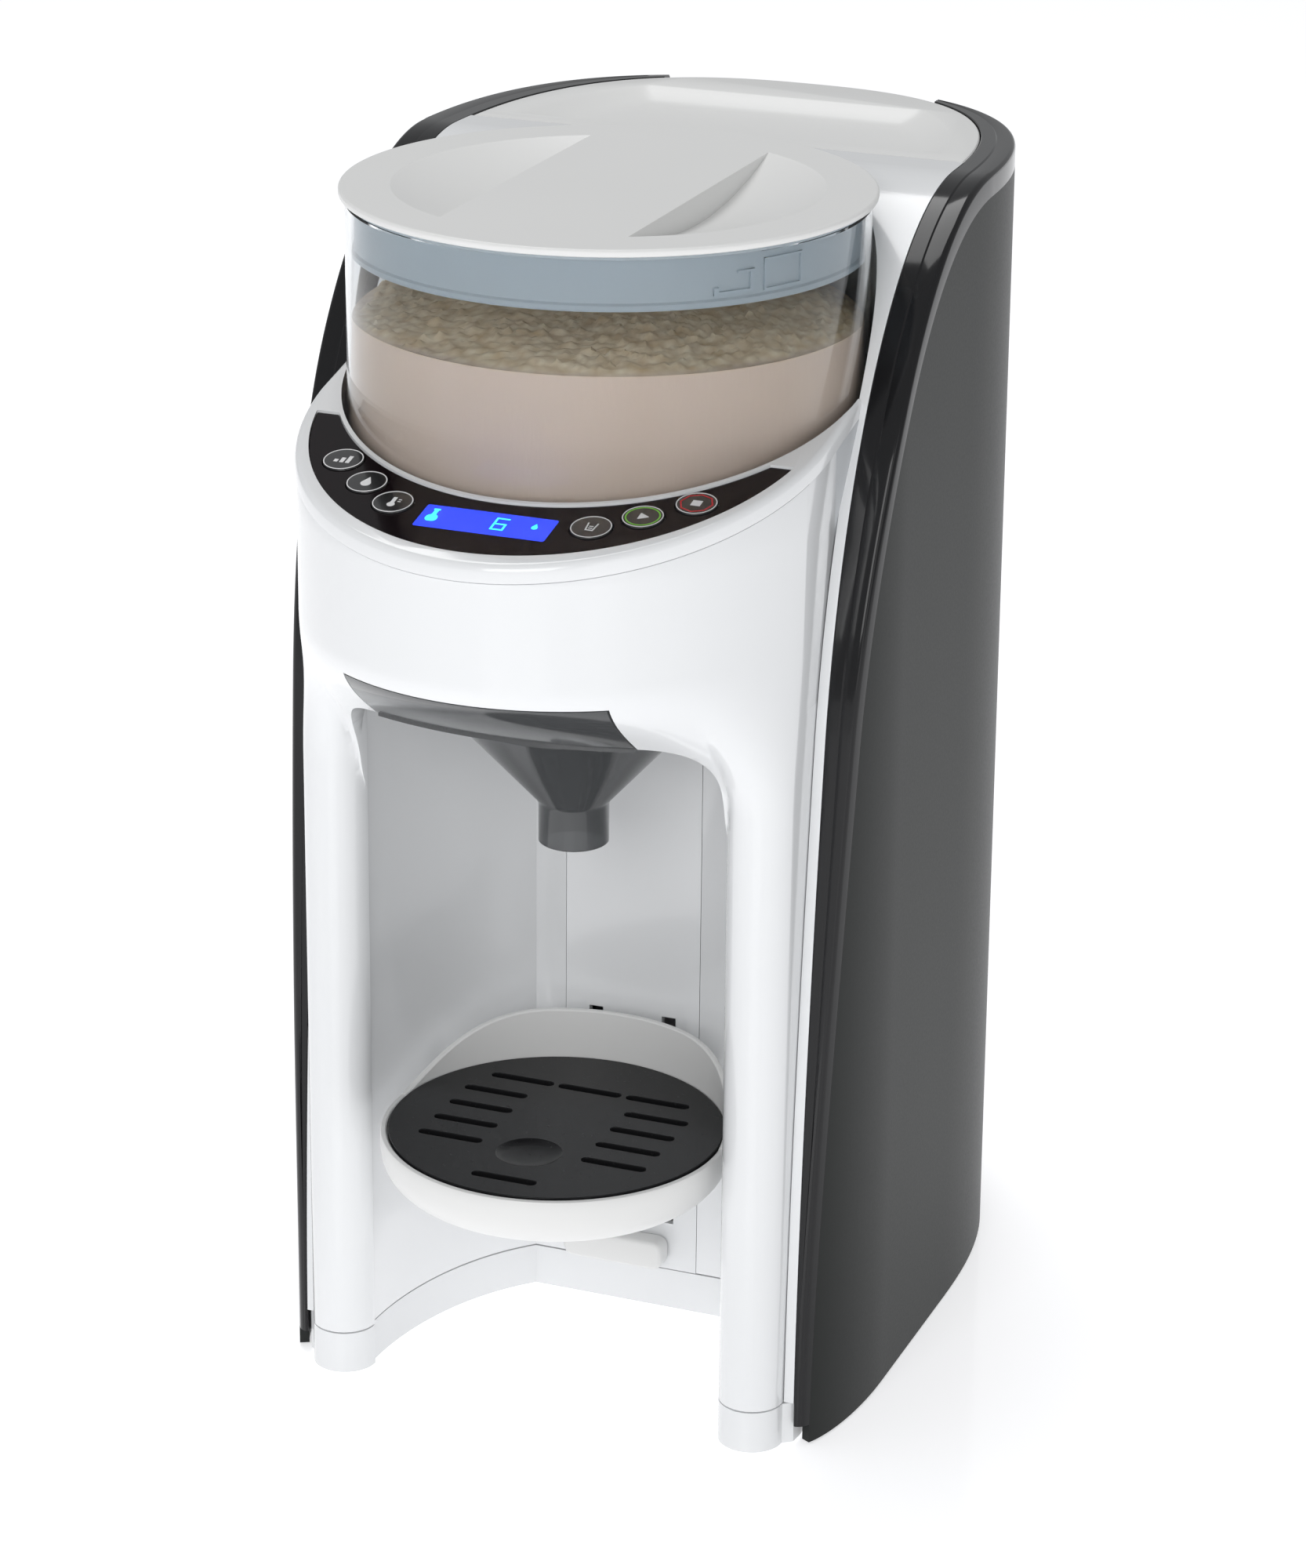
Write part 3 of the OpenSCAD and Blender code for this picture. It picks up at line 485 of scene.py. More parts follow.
def powder_finish():
    """Milk powder: smooth and warm where it presses on the wall; crumbly on top, pale cream in each crumb and darker
    golden brown towards its edges, which is painted shade between the crumbs.
    """
    material = finish("milk_powder", (0.80, 0.66, 0.56), 0.85, second=(0.70, 0.55, 0.44), grain=500, depth=0.25,
                      patch=26, stretch=(1, 1, 0.25))
    nodes, links = material.node_tree.nodes, material.node_tree.links
    shader = nodes["Principled BSDF"]
    place = nodes["Texture Coordinate"]
    # Voronoi crumb cells on top: pale cream at each cell's middle, darker golden brown towards its edges, painted
    # shade in the crevices between crumbs.
    lumps = add(nodes, "TexVoronoi", Scale=260)
    links.new(place.outputs["Object"], lumps.inputs["Vector"])
    crumb_colour_and_shade = blend(nodes, (0.92, 0.80, 0.60), (0.64, 0.47, 0.27))
    links.new(lumps.outputs["Distance"], crumb_colour_and_shade.inputs["Factor"])
    height = add(nodes, "SeparateXYZ")
    links.new(place.outputs["Object"], height.inputs["Vector"])
    level = add(nodes, "MapRange", From_Min=(POWDER_Z - 0.6) * MM, From_Max=(POWDER_Z + 0.9) * MM)
    links.new(height.outputs["Z"], level.inputs["Value"])
    both = blend(nodes)
    links.new(level.outputs["Result"], both.inputs["Factor"])
    links.new(nodes["Mix"].outputs["Result"], both.inputs["A"])
    links.new(crumb_colour_and_shade.outputs["Result"], both.inputs["B"])
    links.new(both.outputs["Result"], shader.inputs["Base Color"])
    shader.inputs["Subsurface Weight"].default_value = 0.08
    shader.inputs["Subsurface Radius"].default_value = (0.004, 0.003, 0.002)
    return material


PAINT = {}


def mix_finishes(look):
    """Every finish of the dispenser, made once."""
    PAINT.update(
        gloss_white=finish("gloss_white_shell", look.white, 0.16, second=[c * 0.975 for c in look.white],
                           grain=320, depth=0.004, coat=0.5, spread=0.03),
        satin_white=finish("satin_white_moulding", look.satin, 0.34, second=[c * 0.97 for c in look.satin],
                           grain=900, depth=0.012),
        side_grey=finish("satin_side_panel", look.side, 0.36, second=[c * 0.88 for c in look.side], grain=1100,
                         depth=0.016, spread=0.06, ior=1.15),
        gloss_black=finish("gloss_black_band", look.black, 0.12, grain=300, depth=0.003, coat=0.35, spread=0.02,
                           ior=1.25),
        panel_black=finish("gloss_panel_lens", (0.008, 0.004, 0.005), 0.1, second=(0.005, 0.003, 0.004),
                           grain=260, depth=0.002, coat=0.15, spread=0.02, ior=1.2),
        button_black=finish("gloss_button", (0.012, 0.012, 0.013), 0.16, grain=400, depth=0.004, coat=0.8),
        print_white=finish("button_print", (0.86, 0.86, 0.87), 0.4, grain=900, depth=0.004),
        print_green=finish("start_print", (0.22, 0.62, 0.06), 0.4, grain=900, depth=0.004),
        print_red=finish("stop_print", (0.62, 0.03, 0.04), 0.4, grain=900, depth=0.004),
        display_blue=finish("display_backlight", (0.006, 0.045, 0.88), 0.2, second=(0.004, 0.030, 0.74),
                            grain=600, depth=0.001, coat=0.6, glow=0.9, patch=40),
        digits=finish("display_segments", (0.05, 0.70, 0.95), 0.3, grain=600, depth=0.001, glow=1.1),
        clear_plastic=finish("clear_container", (0.93, 0.95, 0.96), 0.03, second=(0.90, 0.92, 0.94), grain=120,
                             depth=0.002, spread=0.01, clear=1.0, ior=1.2),
        frosted_plastic=finish("frosted_collar", (0.72, 0.80, 0.85), 0.42, second=(0.64, 0.73, 0.79), grain=500,
                               depth=0.01, clear=0.45, ior=1.3),
        smoked_plastic=finish("smoked_funnel", (0.15, 0.155, 0.16), 0.14, second=(0.125, 0.13, 0.135), grain=400,
                              depth=0.004, clear=0.55, ior=1.35, coat=0.3),
        tank_plastic=finish("smoked_tank", (0.30, 0.32, 0.34), 0.10, second=(0.26, 0.28, 0.30), grain=300,
                            depth=0.004, clear=0.8, ior=1.33),
        grid_black=finish("satin_black_grid", (0.012, 0.012, 0.013), 0.26, grain=900, depth=0.01, coat=0.1,
                          ior=1.25),
        black_plastic=finish("black_moulding", (0.022, 0.022, 0.023), 0.4, grain=1200, depth=0.03),
        grey_plastic=finish("grey_moulding", (0.11, 0.112, 0.118), 0.5, grain=1000, depth=0.03),
        light_plastic=finish("light_moulding", (0.60, 0.62, 0.64), 0.42, grain=1000, depth=0.02),
        gear_plastic=finish("acetal_gears", (0.78, 0.75, 0.66), 0.35, grain=900, depth=0.01),
        rubber=finish("foot_rubber", (0.02, 0.02, 0.021), 0.8, grain=1600, depth=0.05),
        steel=finish("brushed_steel", (0.62, 0.62, 0.63), 0.3, metal=1.0, grain=900, depth=0.01, spread=0.1,
                     stretch=(1, 1, 12)),
        brass=finish("machined_brass", (0.78, 0.58, 0.28), 0.26, metal=1.0, grain=900, depth=0.008),
        cast_aluminium=finish("cast_heater", (0.62, 0.62, 0.64), 0.48, metal=1.0, grain=600, depth=0.08),
        silicone=finish("milky_silicone", (0.70, 0.72, 0.73), 0.5, grain=800, depth=0.01, clear=0.2),
        circuit_board=finish("green_solder_mask", (0.025, 0.16, 0.07), 0.35, second=(0.02, 0.12, 0.05),
                             grain=1400, depth=0.02, patch=90),
        powder=powder_finish(),
    )


# ---------- operators ----------
class DISPENSER_OT_finishes(bpy.types.Operator):
    """Mixes the finishes and paints the frame's inner parts"""
    bl_idname = "dispenser.finishes"
    bl_label = "Finishes and Inner Parts"

    def execute(self, context):
        mix_finishes(context.scene.dispenser_look)
        slots = {row["node"]: row["material_slot"] for row in frame["record"]["subparts"]}
        for name, node in frame["nodes"].items():
            node.data.materials.clear()
            node.data.materials.append(PAINT[slots[name]])
        return {"FINISHED"}


class DISPENSER_OT_front_housing(bpy.types.Operator):
    """Head, chin, columns and bottle bay in one moulding"""
    bl_idname = "dispenser.front_housing"
    bl_label = "Front Housing"

    def execute(self, context):
        seam = context.scene.dispenser_sizes.seam / MM
        nose = [NOSE_X + NOSE_R * math.cos(a) for a in steps_between(0, math.pi, 16)]
        xs = [-x for x in nose] + steps_between(-MOUTH_X, MOUTH_X, 48)[1:-1] + nose[::-1]
        levels = [BAND_Z + seam, 60, 120, 186] + steps_between(188, 252, 48) + [280, 330]
        rings = [[(x, fascia_y(x, z), z) for x in xs] + [(HEAD_X, COLUMN_REAR, z), (-HEAD_X, COLUMN_REAR, z)]
                 for z in levels]
        housing = hull_of_rings(rings)
        inside_x = HEAD_X - HEAD_WALL
        inner = [(x, head_y(x, HEAD_WALL)) for x in steps_between(-inside_x, inside_x, 60)]
        arch = fillet([(-MOUTH_X, 0), (MOUTH_X, 0), (MOUTH_X, ARCH_Z), (-MOUTH_X, ARCH_Z)], ARCH_R, 12)
        above = [(FRONT_Y - 20, panel_z(FRONT_Y - 20)), (0, panel_z(0)), (0, 500), (FRONT_Y - 20, 500)]
        drop = FRAME_H + seam
        carve(housing,
              block([(y, z - drop if z < 400 else z) for y, z in above], -100, 100, "x"),
              block(bay_outline(front=-84.0), -5, CEILING_Z),
              block(arch, -170, -83.9, "y"),
              brick((-NOTCH_X, -170, NOTCH_LOW), (NOTCH_X, -110, NOTCH_HIGH)),
              brick((-NOTCH_X, -111, NOTCH_LOW), (NOTCH_X, -95, CEILING_Z - 0.1)),
              block(inner + [(inside_x, -51), (-inside_x, -51)], HEAD_FLOOR, 400),
              brick((-90, -52, 228.5), (90, 0, 400)),
              disc(0, CONTAINER_Y, 77.9, 253, 400, 128),
              disc(0, OUTLET_Y, 9.6, 220, 260),
              disc(14, -48, 3.8, 220, 240),
              brick((-22.2, BAY_BACK - 2, 0), (22.2, 0, 200)))
        soften(housing, 0.7, 2, 62)
        settle(housing, "front_shell", "base", "gloss_white", "front_housing", smooth=34)
        return {"FINISHED"}


class DISPENSER_OT_base_band(bpy.types.Operator):
    """Skirt under the seam, with the outline of the columns and the bay"""
    bl_idname = "dispenser.base_band"
    bl_label = "Base Band"

    def execute(self, context):
        nose = arc(NOSE_R, NOSE_X, NOSE_Y, -180, 0, 24)
        side = [(min(HOUSING_X, shell_x(y, 3.4)), y) for y in steps_between(-78.3, REAR_START, 24)]
        rear = [p for p in rear_line(3.4) if p[0] < HOUSING_X - 0.2]
        half = nose + side + rear
        outline = half + mirror_line(half)[1:]
        band = block(outline, FOOT_Z, BAND_Z)
        inner = block(shrink(outline, 2.5), FOOT_Z - 3, BAND_Z + 3)
        carve(inner, block(bay_outline(2.5, -110), FOOT_Z - 5, BAND_Z + 5))
        carve(band, block(bay_outline(0, -110), FOOT_Z - 3, BAND_Z + 3), inner)
        settle(band, "base_skirt", "base", "gloss_white", "base_band")
        return {"FINISHED"}


class DISPENSER_OT_deck(bpy.types.Operator):
    """Deck that rises around the container, and the side strips beside the columns"""
    bl_idname = "dispenser.deck"
    bl_label = "Deck and Side Strips"

    def execute(self, context):
        seam = context.scene.dispenser_sizes.seam / MM
        top = SHELL_EDGE + [(LID_SPLIT, DECK_Z)]
        low = [(LID_SPLIT, 351.5), (SHELF_Y, 351.5), (SHELF_Y, 349), (LID_SPLIT - 2.4, 349),
               (LID_SPLIT - 2.4, DECK_Z - 2.5)]
        under = [(y + 2, z - 2.2) for y, z in reversed(SHELL_EDGE)]
        deck = block(top + low + under, -HOUSING_X, HOUSING_X, "x")
        carve(deck, brick((-STRIP_X, -120, -10), (STRIP_X, DECK_FRONT, 400)))
        for side in (-1, 1):
            x0, x1 = sorted((side * STRIP_X, side * (HOUSING_X - 0.02)))
            strip = block(top[1:] + [(LID_SPLIT, 351.4), (SHELF_Y - 0.1, 351.4), (SHELF_Y - 0.1, 0.5)], x0, x1, "x")
            carve(deck, strip, mode="UNION")
        inside = block(rear_outline(BAND_INSET + 0.1, REAR_START), 345, 370)
        around = brick((-100, REAR_START, DECK_Z - 8), (100, 100, DECK_Z + 5))
        carve(deck, carve(around, inside), brick((-100, -120, -20), (100, 100, BAND_Z + seam)),
              disc(0, CONTAINER_Y, BORE_R, 253, 400, 160))
        settle(deck, "deck_shell", "base", "gloss_white", "main_housing", smooth=30)
        return {"FINISHED"}


class DISPENSER_OT_side_shells(bpy.types.Operator):
    """Dark side panels and the gloss black bands along their rising front edges"""
    bl_idname = "dispenser.side_shells"
    bl_label = "Side Shells"

    def execute(self, context):
        rear = rear_line(0, 42, WINDOW_X, 36)
        columns = [(shell_x(y), y, z) for y, z in SHELL_INNER if z > 1.5]
        columns += [(x, y, SHELL_INNER[-1][1]) for x, y in rear]
        rows = [[(x, leaned(y, FOOT_Z + (top - FOOT_Z) * t), FOOT_Z + (top - FOOT_Z) * t) for x, y, top in columns]
                for t in steps_between(0, 1, 18)]
        panel = cloth_of_rows(rows)
        face_out(panel, 0, len(panel.data.polygons) // 3)
        thicken(panel, WALL)
        band = self.band(rear)
        carve(band, brick((-WINDOW_X, 60, 340), (WINDOW_X, 160, 370)))
        twin_panel, twin_band = mirrored(panel), mirrored(band)
        for side, shell, edge in (("right", panel, band), ("left", twin_panel, twin_band)):
            settle(shell, "side_shell_" + side, "base", "side_grey", "side_panel_" + side)
            settle(edge, "edge_band_" + side, "base", "gloss_black", "edge_trim_" + side, smooth=28)
        return {"FINISHED"}

    @staticmethod
    def band(rear):
        """Rings across the band: inner wall, top facets, round outer edge, outer wall and underside."""
        stations = [(e, q, None) for e, q in zip(SHELL_EDGE, SHELL_INNER) if e[1] > FOOT_Z + 0.4]
        stations += [((y, DECK_Z), (y, DECK_Z - 7), x) for x, y in rear]
        rings = []
        for (ey, ez), (qy, qz), x_rear in stations:
            edge, inner = Vector((ey, ez)), Vector((qy, qz))
            depth = (inner - edge).length
            down = (inner - edge) / depth

            def point(inset, below, at=None):
                y, z = edge + down * below
                if x_rear is None:
                    outer = shell_x(y)
                    low = HOUSING_X + 0.1 if y < REAR_START else shell_x(y, BAND_INSET)
                    x = max(low, outer - inset) if at is None else low
                    return (x, y, z)
                if at is None:
                    return (x_rear - inset * 0.7, leaned(y, z) - inset * 0.7, z)
                ratio = (HALF_W - BAND_INSET) / HALF_W
                deep = (REAR_Y - REAR_START - BAND_INSET) / (REAR_Y - REAR_START)
                return (x_rear * ratio, REAR_START + (y - REAR_START) * deep, z)

            rim = 1.6
            ring = [point(0, depth, "inner"), point(0, 0.25, "inner"), point(0, 0.0, "inner")]
            ring[2] = tuple(Vector(ring[2]) + (Vector(point(0, 0)) - Vector(ring[2])).normalized() * 0.3)
            crease = Vector(point(0, 0, "inner")).lerp(Vector(point(0, 0)), 0.42)
            sink = Vector((0, *(down * 0.35)))
            ring.append(tuple(crease))
            ring.append(tuple(crease + (Vector(point(0, 0)) - crease).normalized() * 0.5 + sink))
            for a in steps_between(0, 90, 5):
                c, s = 1 - math.cos(math.radians(a)), 1 - math.sin(math.radians(a))
                ring.append(point(rim * s, rim * c))
            ring.append(point(0, depth))
            rings.append(ring)
        return hull_of_rings(rings)


class DISPENSER_OT_rear_cover(bpy.types.Operator):
    """Rear cover with its vents and the openings for socket and switch"""
    bl_idname = "dispenser.rear_cover"
    bl_label = "Rear Cover"

    def execute(self, context):
        top = cad("rear_cover")[1].z
        half = rear_line(0, 100, 0, 60)
        line = [p for p in half if p[0] < WINDOW_X - 0.5]
        line = [(-x, y) for x, y in line] + line[-2::-1]
        rows = [[(x, leaned(y, z), z) for x, y in line] for z in steps_between(FOOT_Z, top, 8)]
        cover = cloth_of_rows(rows)
        face_out(cover, 1)
        thicken(cover, WALL)
        tools = []
        gap = 0.2
        for node in ("power_inlet", "switch_housing"):
            low, high = cad(node)
            tools.append(brick((low.x - gap, 100, low.z - gap), (high.x + gap, 170, high.z + gap)))
        vent_z, pitch, middle, half_length, half_width = 63, 5, 20, 12, 1
        for row in range(7):
            for side in (-1, 1):
                z, x0, x1 = vent_z + pitch * row, side * middle - half_length, side * middle + half_length
                vent = [(x0, z - half_width), (x1, z - half_width), (x1, z + half_width), (x0, z + half_width)]
                tools.append(block(fillet(vent, half_width, 4), 100, 170, "y"))
        carve(cover, *tools)
        settle(cover, "rear_shell", "base", "side_grey", "rear_cover")
        return {"FINISHED"}


class DISPENSER_OT_panel(bpy.types.Operator):
    """White panel frame, gloss lens, display with its digit, and six round buttons"""
    bl_idname = "dispenser.panel"
    bl_label = "Control Panel"
    buttons = (("strength", -53, -101), ("water", -41.2, -111), ("warmth", -29.5, -119.5),
               ("amount", 29.5, -119.5), ("start", 41.2, -111), ("stop", 53, -101))
    display_y = -123.5

    def execute(self, context):
        rear, rx, ry = DECK_FRONT - 0.1, 77.6, 86
        rings = []
        for inset, height in ((0, -FRAME_H), (0, -1.3), (0.15, -0.7), (0.5, -0.1), (1.05, 0.35), (1.8, 0.6)):
            quarter = [math.sin(a) for a in steps_between(-math.pi / 2, math.pi / 2, 96)]
            outline = [((rx - inset) * s, HEAD_Y - (ry - inset) * math.sqrt(max(0, 1 - s * s))) for s in quarter]
            outline += [(rx - inset, rear), (inset - rx, rear)]
            rings.append([(x, y, panel_z(y) + height) for x, y in outline])
        rim = hull_of_rings(rings)
        holes = [self.post(x, y, 6.25, -10, 10) for _, x, y in self.buttons]
        carve(rim, disc(0, CONTAINER_Y, BORE_R, 240, 400, 160), self.lens(((-0.12, -1.7), (-0.12, 6))), *holes)
        settle(rim, "panel_rim", "base", "gloss_white", "panel_frame", smooth=30)
        lens = self.lens(((0, -1.6), (0, 0)))
        soften(lens, 0.3, 3)
        carve(lens, *[self.post(x, y, 6.2, -10, 10) for _, x, y in self.buttons])
        settle(lens, "panel_lens", "base", "gloss_black", "control_lens", "panel_black", smooth=30, even=True)
        self.display()
        for name, x, y in self.buttons:
            self.button(name, x, y)
        return {"FINISHED"}

    @staticmethod
    def lens(levels):
        """The crescent between the rim and the container, through insets and heights over the panel."""
        inset = levels[0][0]
        rings = []
        for out, height in levels:
            ring = [((74 - out) * math.cos(a), HEAD_Y + (80.3 - out) * math.sin(a)) for a in turn(200)]
            rings.append([(x, y, panel_z(y) + height) for x, y in ring])
        body = hull_of_rings(rings)
        return carve(body, disc(0, CONTAINER_Y, BORE_R + 1.4 + inset, 200, 400, 160),
                     brick((-100, -77 - inset, 200), (100, 100, 400)))

    @staticmethod
    def on_panel(obj, x, y):
        """Moves a piece made flat about the origin onto the sloping panel."""
        obj.data.transform(Matrix.Translation(Vector((x, y, panel_z(y))) * MM) @ Matrix.Rotation(PANEL_TILT, 4, "X"))
        return obj

    def post(self, x, y, radius, low, high):
        return self.on_panel(disc(0, 0, radius, low, high, 64), x, y)

    def display(self):
        body = brick((-22, -7.5, -7), (22, 7.5, -1.75))
        face = block(fillet([(-19.5, -5.85), (19.5, -5.85), (19.5, 5.85), (-19.5, 5.85)], 0.8, 4), -1.7, 0.05)
        glass = self.on_panel(join(face, body), 0, self.display_y)
        settle(glass, "display_face", "base", "display_blue", "display_module")
        marks = []
        left, right, low, high, stroke = 2.2, 6.2, -3.0, 3.4, 0.62
        mid = (low + high) / 2
        for x0, x1, z0, z1 in ((left, right, high - stroke, high), (left, right, mid - stroke / 2, mid + stroke / 2),
                               (left, right, low, low + stroke), (left, left + stroke, low, high),
                               (right - stroke, right, low, mid)):
            marks.append(block(fillet([(x0, z0), (x1, z0), (x1, z1), (x0, z1)], 0.2, 2), 0.05, 0.11))
        flask = [(-16.8, -2.6), (-14.8, -2.6), (-14.0, -1.6), (-14.2, 0.2), (-15.2, 0.9), (-15.2, 3.2), (-14.8, 3.3),
                 (-14.8, 4.0), (-16.8, 4.0), (-16.8, 3.3), (-16.4, 3.2), (-16.4, 0.9), (-17.4, 0.2), (-17.6, -1.6)]
        marks.append(block(fillet(flask, 0.5, 3), 0.05, 0.11))
        marks.append(block(self.drop_outline(0.9, 14.2, 0.6), 0.05, 0.11))
        lit = self.on_panel(join(*marks), 0, self.display_y)
        pick(lit)
        lit.name = lit.data.name = "display_marks"
        lit.data.materials.append(PAINT["digits"])
        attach(lit, "base")

    @staticmethod
    def drop_outline(radius, x, y):
        return arc(radius, x, y, 150, 390, 20) + [(x, y + 2.3 * radius)]

    def button(self, name, x, y):
        """A round cap with a printed ring and a plain sign."""
        radius = 5.9
        cap = lathe([(0, -7.2), (1.5, -7.2), (1.5, -6.3), (radius + 0.6, -6.3), (radius + 0.6, -4.9), (radius, -4.9),
                     (radius, 0.15), (radius - 0.12, 0.36), (radius - 0.4, 0.47), (radius - 0.9, 0.5), (0, 0.46)],
                    0, 0, 64)
        cap.data.materials.append(PAINT["button_black"])
        top, lift = 0.47, 0.56
        parts = [(self.ring(5.42, 5.72, top, lift), "print_white")]
        parts += getattr(self, name + "_sign")(top - 0.05, lift - 0.01)
        for part, paint in parts:
            part.data.materials.append(PAINT[paint])
        whole = self.on_panel(join(cap, *[part for part, _ in parts]), x, y)
        settle(whole, name + "_cap", name + "_button_cap", "gloss_black", name + "_button", smooth=30, painted=True)

    @staticmethod
    def ring(inner, outer, low, high, steps=64):
        return lathe([(inner, low), (outer, low), (outer, high), (inner, high)], 0, 0, steps, True)

    @staticmethod
    def bars(rows, low, high):
        made = [brick((x0, y0, low), (x1, y1, high)) for x0, y0, x1, y1 in rows]
        return join(*made)

    def strength_sign(self, low, high):
        return [(self.bars([(-2.4, -1.8, -1.2, -0.4), (-0.6, -1.8, 0.6, 0.8), (1.2, -1.8, 2.4, 2.0)], low, high),
                 "print_white")]

    def water_sign(self, low, high):
        return [(block(self.drop_outline(1.5, 0, -0.9), low, high), "print_white")]

    def warmth_sign(self, low, high):
        bulb = arc(1.15, 0, -1.5, 120, 420, 20)
        return [(block(bulb + [(0.55, 2.4), (-0.55, 2.4)], low, high), "print_white"),
                (self.bars([(1.3, 0.2, 2.2, 0.5), (1.3, 1.2, 2.2, 1.5)], low, high), "print_white")]

    def amount_sign(self, low, high):
        cup = [(-1.6, 2.0), (-1.2, -2.0), (1.2, -2.0), (1.6, 2.0),
               (1.2, 2.0), (0.85, -1.6), (-0.85, -1.6), (-1.2, 2.0)]
        return [(block(cup, low, high), "print_white"),
                (self.bars([(-0.6, -0.9, 0.6, -0.6), (-0.6, 0.1, 0.6, 0.4)], low, high), "print_white")]

    def start_sign(self, low, high):
        arrow = fillet([(-1.1, -1.7), (1.9, 0), (-1.1, 1.7)], 0.3, 3)
        return [(self.ring(4.5, 4.95, low + 0.05, high), "print_green"), (block(arrow, low, high), "print_white")]

    def stop_sign(self, low, high):
        eight = self.ring(4.4, 4.9, low + 0.05, high, 8)
        return [(eight, "print_red"), (self.bars([(-1.4, -1.4, 1.4, 1.4)], low, high), "print_white")]


class DISPENSER_OT_container(bpy.types.Operator):
    """Clear powder container, its frosted collar, the lid with two finger scoops, and the powder"""
    bl_idname = "dispenser.container"
    bl_label = "Container, Collar, Lid and Powder"

    def execute(self, context):
        low, high = CONTAINER_LOW.z, CONTAINER_HIGH.z
        outer, inner, floor = CONTAINER_R, CONTAINER_R - 2, CONTAINER_LOW.z + 3
        wall = [(8.4, low), (outer - 1.6, low), (outer - 0.6, low + 0.4), (outer, low + 1.4), (outer, high - 0.4),
                (outer - 0.4, high), (inner + 0.4, high), (inner, high - 0.4), (inner, floor + 1.5),
                (inner - 1.5, floor), (8.4, floor)]
        tub = lathe(wall, 0, CONTAINER_Y, 192, True)
        carve(tub, disc(0, OUTLET_Y, 6.5, low - 2, floor + 2))
        settle(tub, "powder_tub", "container", "clear_plastic", "powder_container")
        self.collar()
        self.lid(context.scene.dispenser_sizes)
        self.powder()
        return {"FINISHED"}

    @staticmethod
    def arc_rib(start, end, inner, outer, low, high):
        outside, inside = arc(outer, 0, CONTAINER_Y, start, end, 10), arc(inner, 0, CONTAINER_Y, start, end, 10)
        return block(outside + inside[::-1], low, high)

    def collar(self):
        low, high = cad("lid_collar")[0].z, cad("lid_collar")[1].z
        r = CONTAINER_R - 2.3
        profile = [(r - 2.4, low + 0.4), (r - 2.0, low), (r - 0.2, low), (r + 0.15, low + 0.4), (r + 0.15, low + 1.7),
                   (r - 0.5, low + 2.3), (r - 0.5, high - 1.2), (CONTAINER_R - 0.3, high - 0.8),
                   (CONTAINER_R, high - 0.5), (CONTAINER_R - 0.2, high), (r - 2.4, high)]
        collar = lathe(profile, 0, CONTAINER_Y, 192, True)
        ribs = []
        for at in (-38, 142):
            for a0, a1, z0, z1 in ((-7, 3, 3.2, 4.2), (1.8, 3, 3.2, 9.6), (-1.4, 3, 8.8, 9.6), (5.5, 16.5, 3.0, 3.6),
                                   (5.5, 16.5, 11.4, 12.0), (5.5, 6.1, 3.0, 12.0), (15.9, 16.5, 3.0, 12.0),
                                   (-7, -5.8, 3.2, 5.4)):
                ribs.append(self.arc_rib(at + a0, at + a1, r - 0.8, r + 0.1, low + z0, low + z1))
        collar = join(collar, *ribs)
        settle(collar, "lid_collar_ring", "lid_ring", "frosted_plastic", "lid_collar", smooth=40)

    def lid(self, sizes):
        top, under, radius = LID_HIGH.z, LID_HIGH.z - 2.3, LID_HIGH.x
        scoop, reach, bar = sizes.scoop_depth / MM, 62.0, 28.0
        rise = (reach ** 2 - bar ** 2 - scoop ** 2) / (2 * scoop)
        ball = math.hypot(rise, reach)
        disc_profile = [(0, under), (radius - 0.8, under), (radius - 0.15, under + 0.3), (radius, under + 0.9)]
        disc_profile += arc(0.9, radius - 0.9, top - 0.9, 0, 90, 5) + [(0, top)]
        lid = lathe(disc_profile, 0, CONTAINER_Y, 192)

        def bowl(extra, edge, ceiling):
            profile = [(r, top + rise - math.sqrt((ball + extra) ** 2 - r ** 2)) for r in steps_between(0, edge, 24)]
            return lathe(profile + [(edge, ceiling), (0, ceiling)], 0, CONTAINER_Y, 128)

        cup = bowl(1.7, reach + 0.2, under + 0.6)
        carve(cup, brick((-bar + 1.7, -200, 300), (bar - 1.7, 100, 400)))
        carve(lid, cup, mode="UNION")
        cutter = bowl(0, reach, top + 4)
        carve(cutter, brick((-bar, -200, 300), (bar, 100, 400)))
        carve(lid, cutter)
        soften(lid, 0.35, 2, 15)
        settle(lid, "container_cover", "lid", "satin_white", "container_lid", smooth=30, even=True)

    def powder(self):
        """The heap on top is built from rings with a crumbly height."""
        low, core_z, core_r = cad("formula_powder")[0].z, 296.0, 60.0
        r, steps, rise = CONTAINER_R - 2.4, 288, 8.5
        levels = ((core_r - 0.1, core_z), (core_r, low), (r, low), (r, low + 30), (r, POWDER_Z - 3), (r, POWDER_Z - 1))
        rings = [[(radius * math.cos(a), CONTAINER_Y + radius * math.sin(a), z) for a in turn(steps)]
                 for radius, z in levels]
        for i, t in enumerate(steps_between(0, 1, 72)[:-1]):
            radius, rough = r * (1 - t), min(1, i / 2)
            ring = []
            for a in turn(steps):
                x, y = radius * math.cos(a), radius * math.sin(a)
                spot = Vector((x, y, 7.0))
                lump = abs(noise.noise(spot / 3.1)) * 2.2 + abs(noise.noise(spot / 1.5)) * 1.1
                roll = noise.noise(spot / 22.0) * 1.6
                heaped = rise * (1 - (radius / r) ** 2) ** 0.8 - 1.0
                ring.append((x, CONTAINER_Y + y, POWDER_Z + rough * (lump + roll + heaped)))
            rings.append(ring)
        heap = hull_of_rings(rings)
        settle(heap, "milk_powder_heap", "container", "powder", "formula_powder", smooth=50)


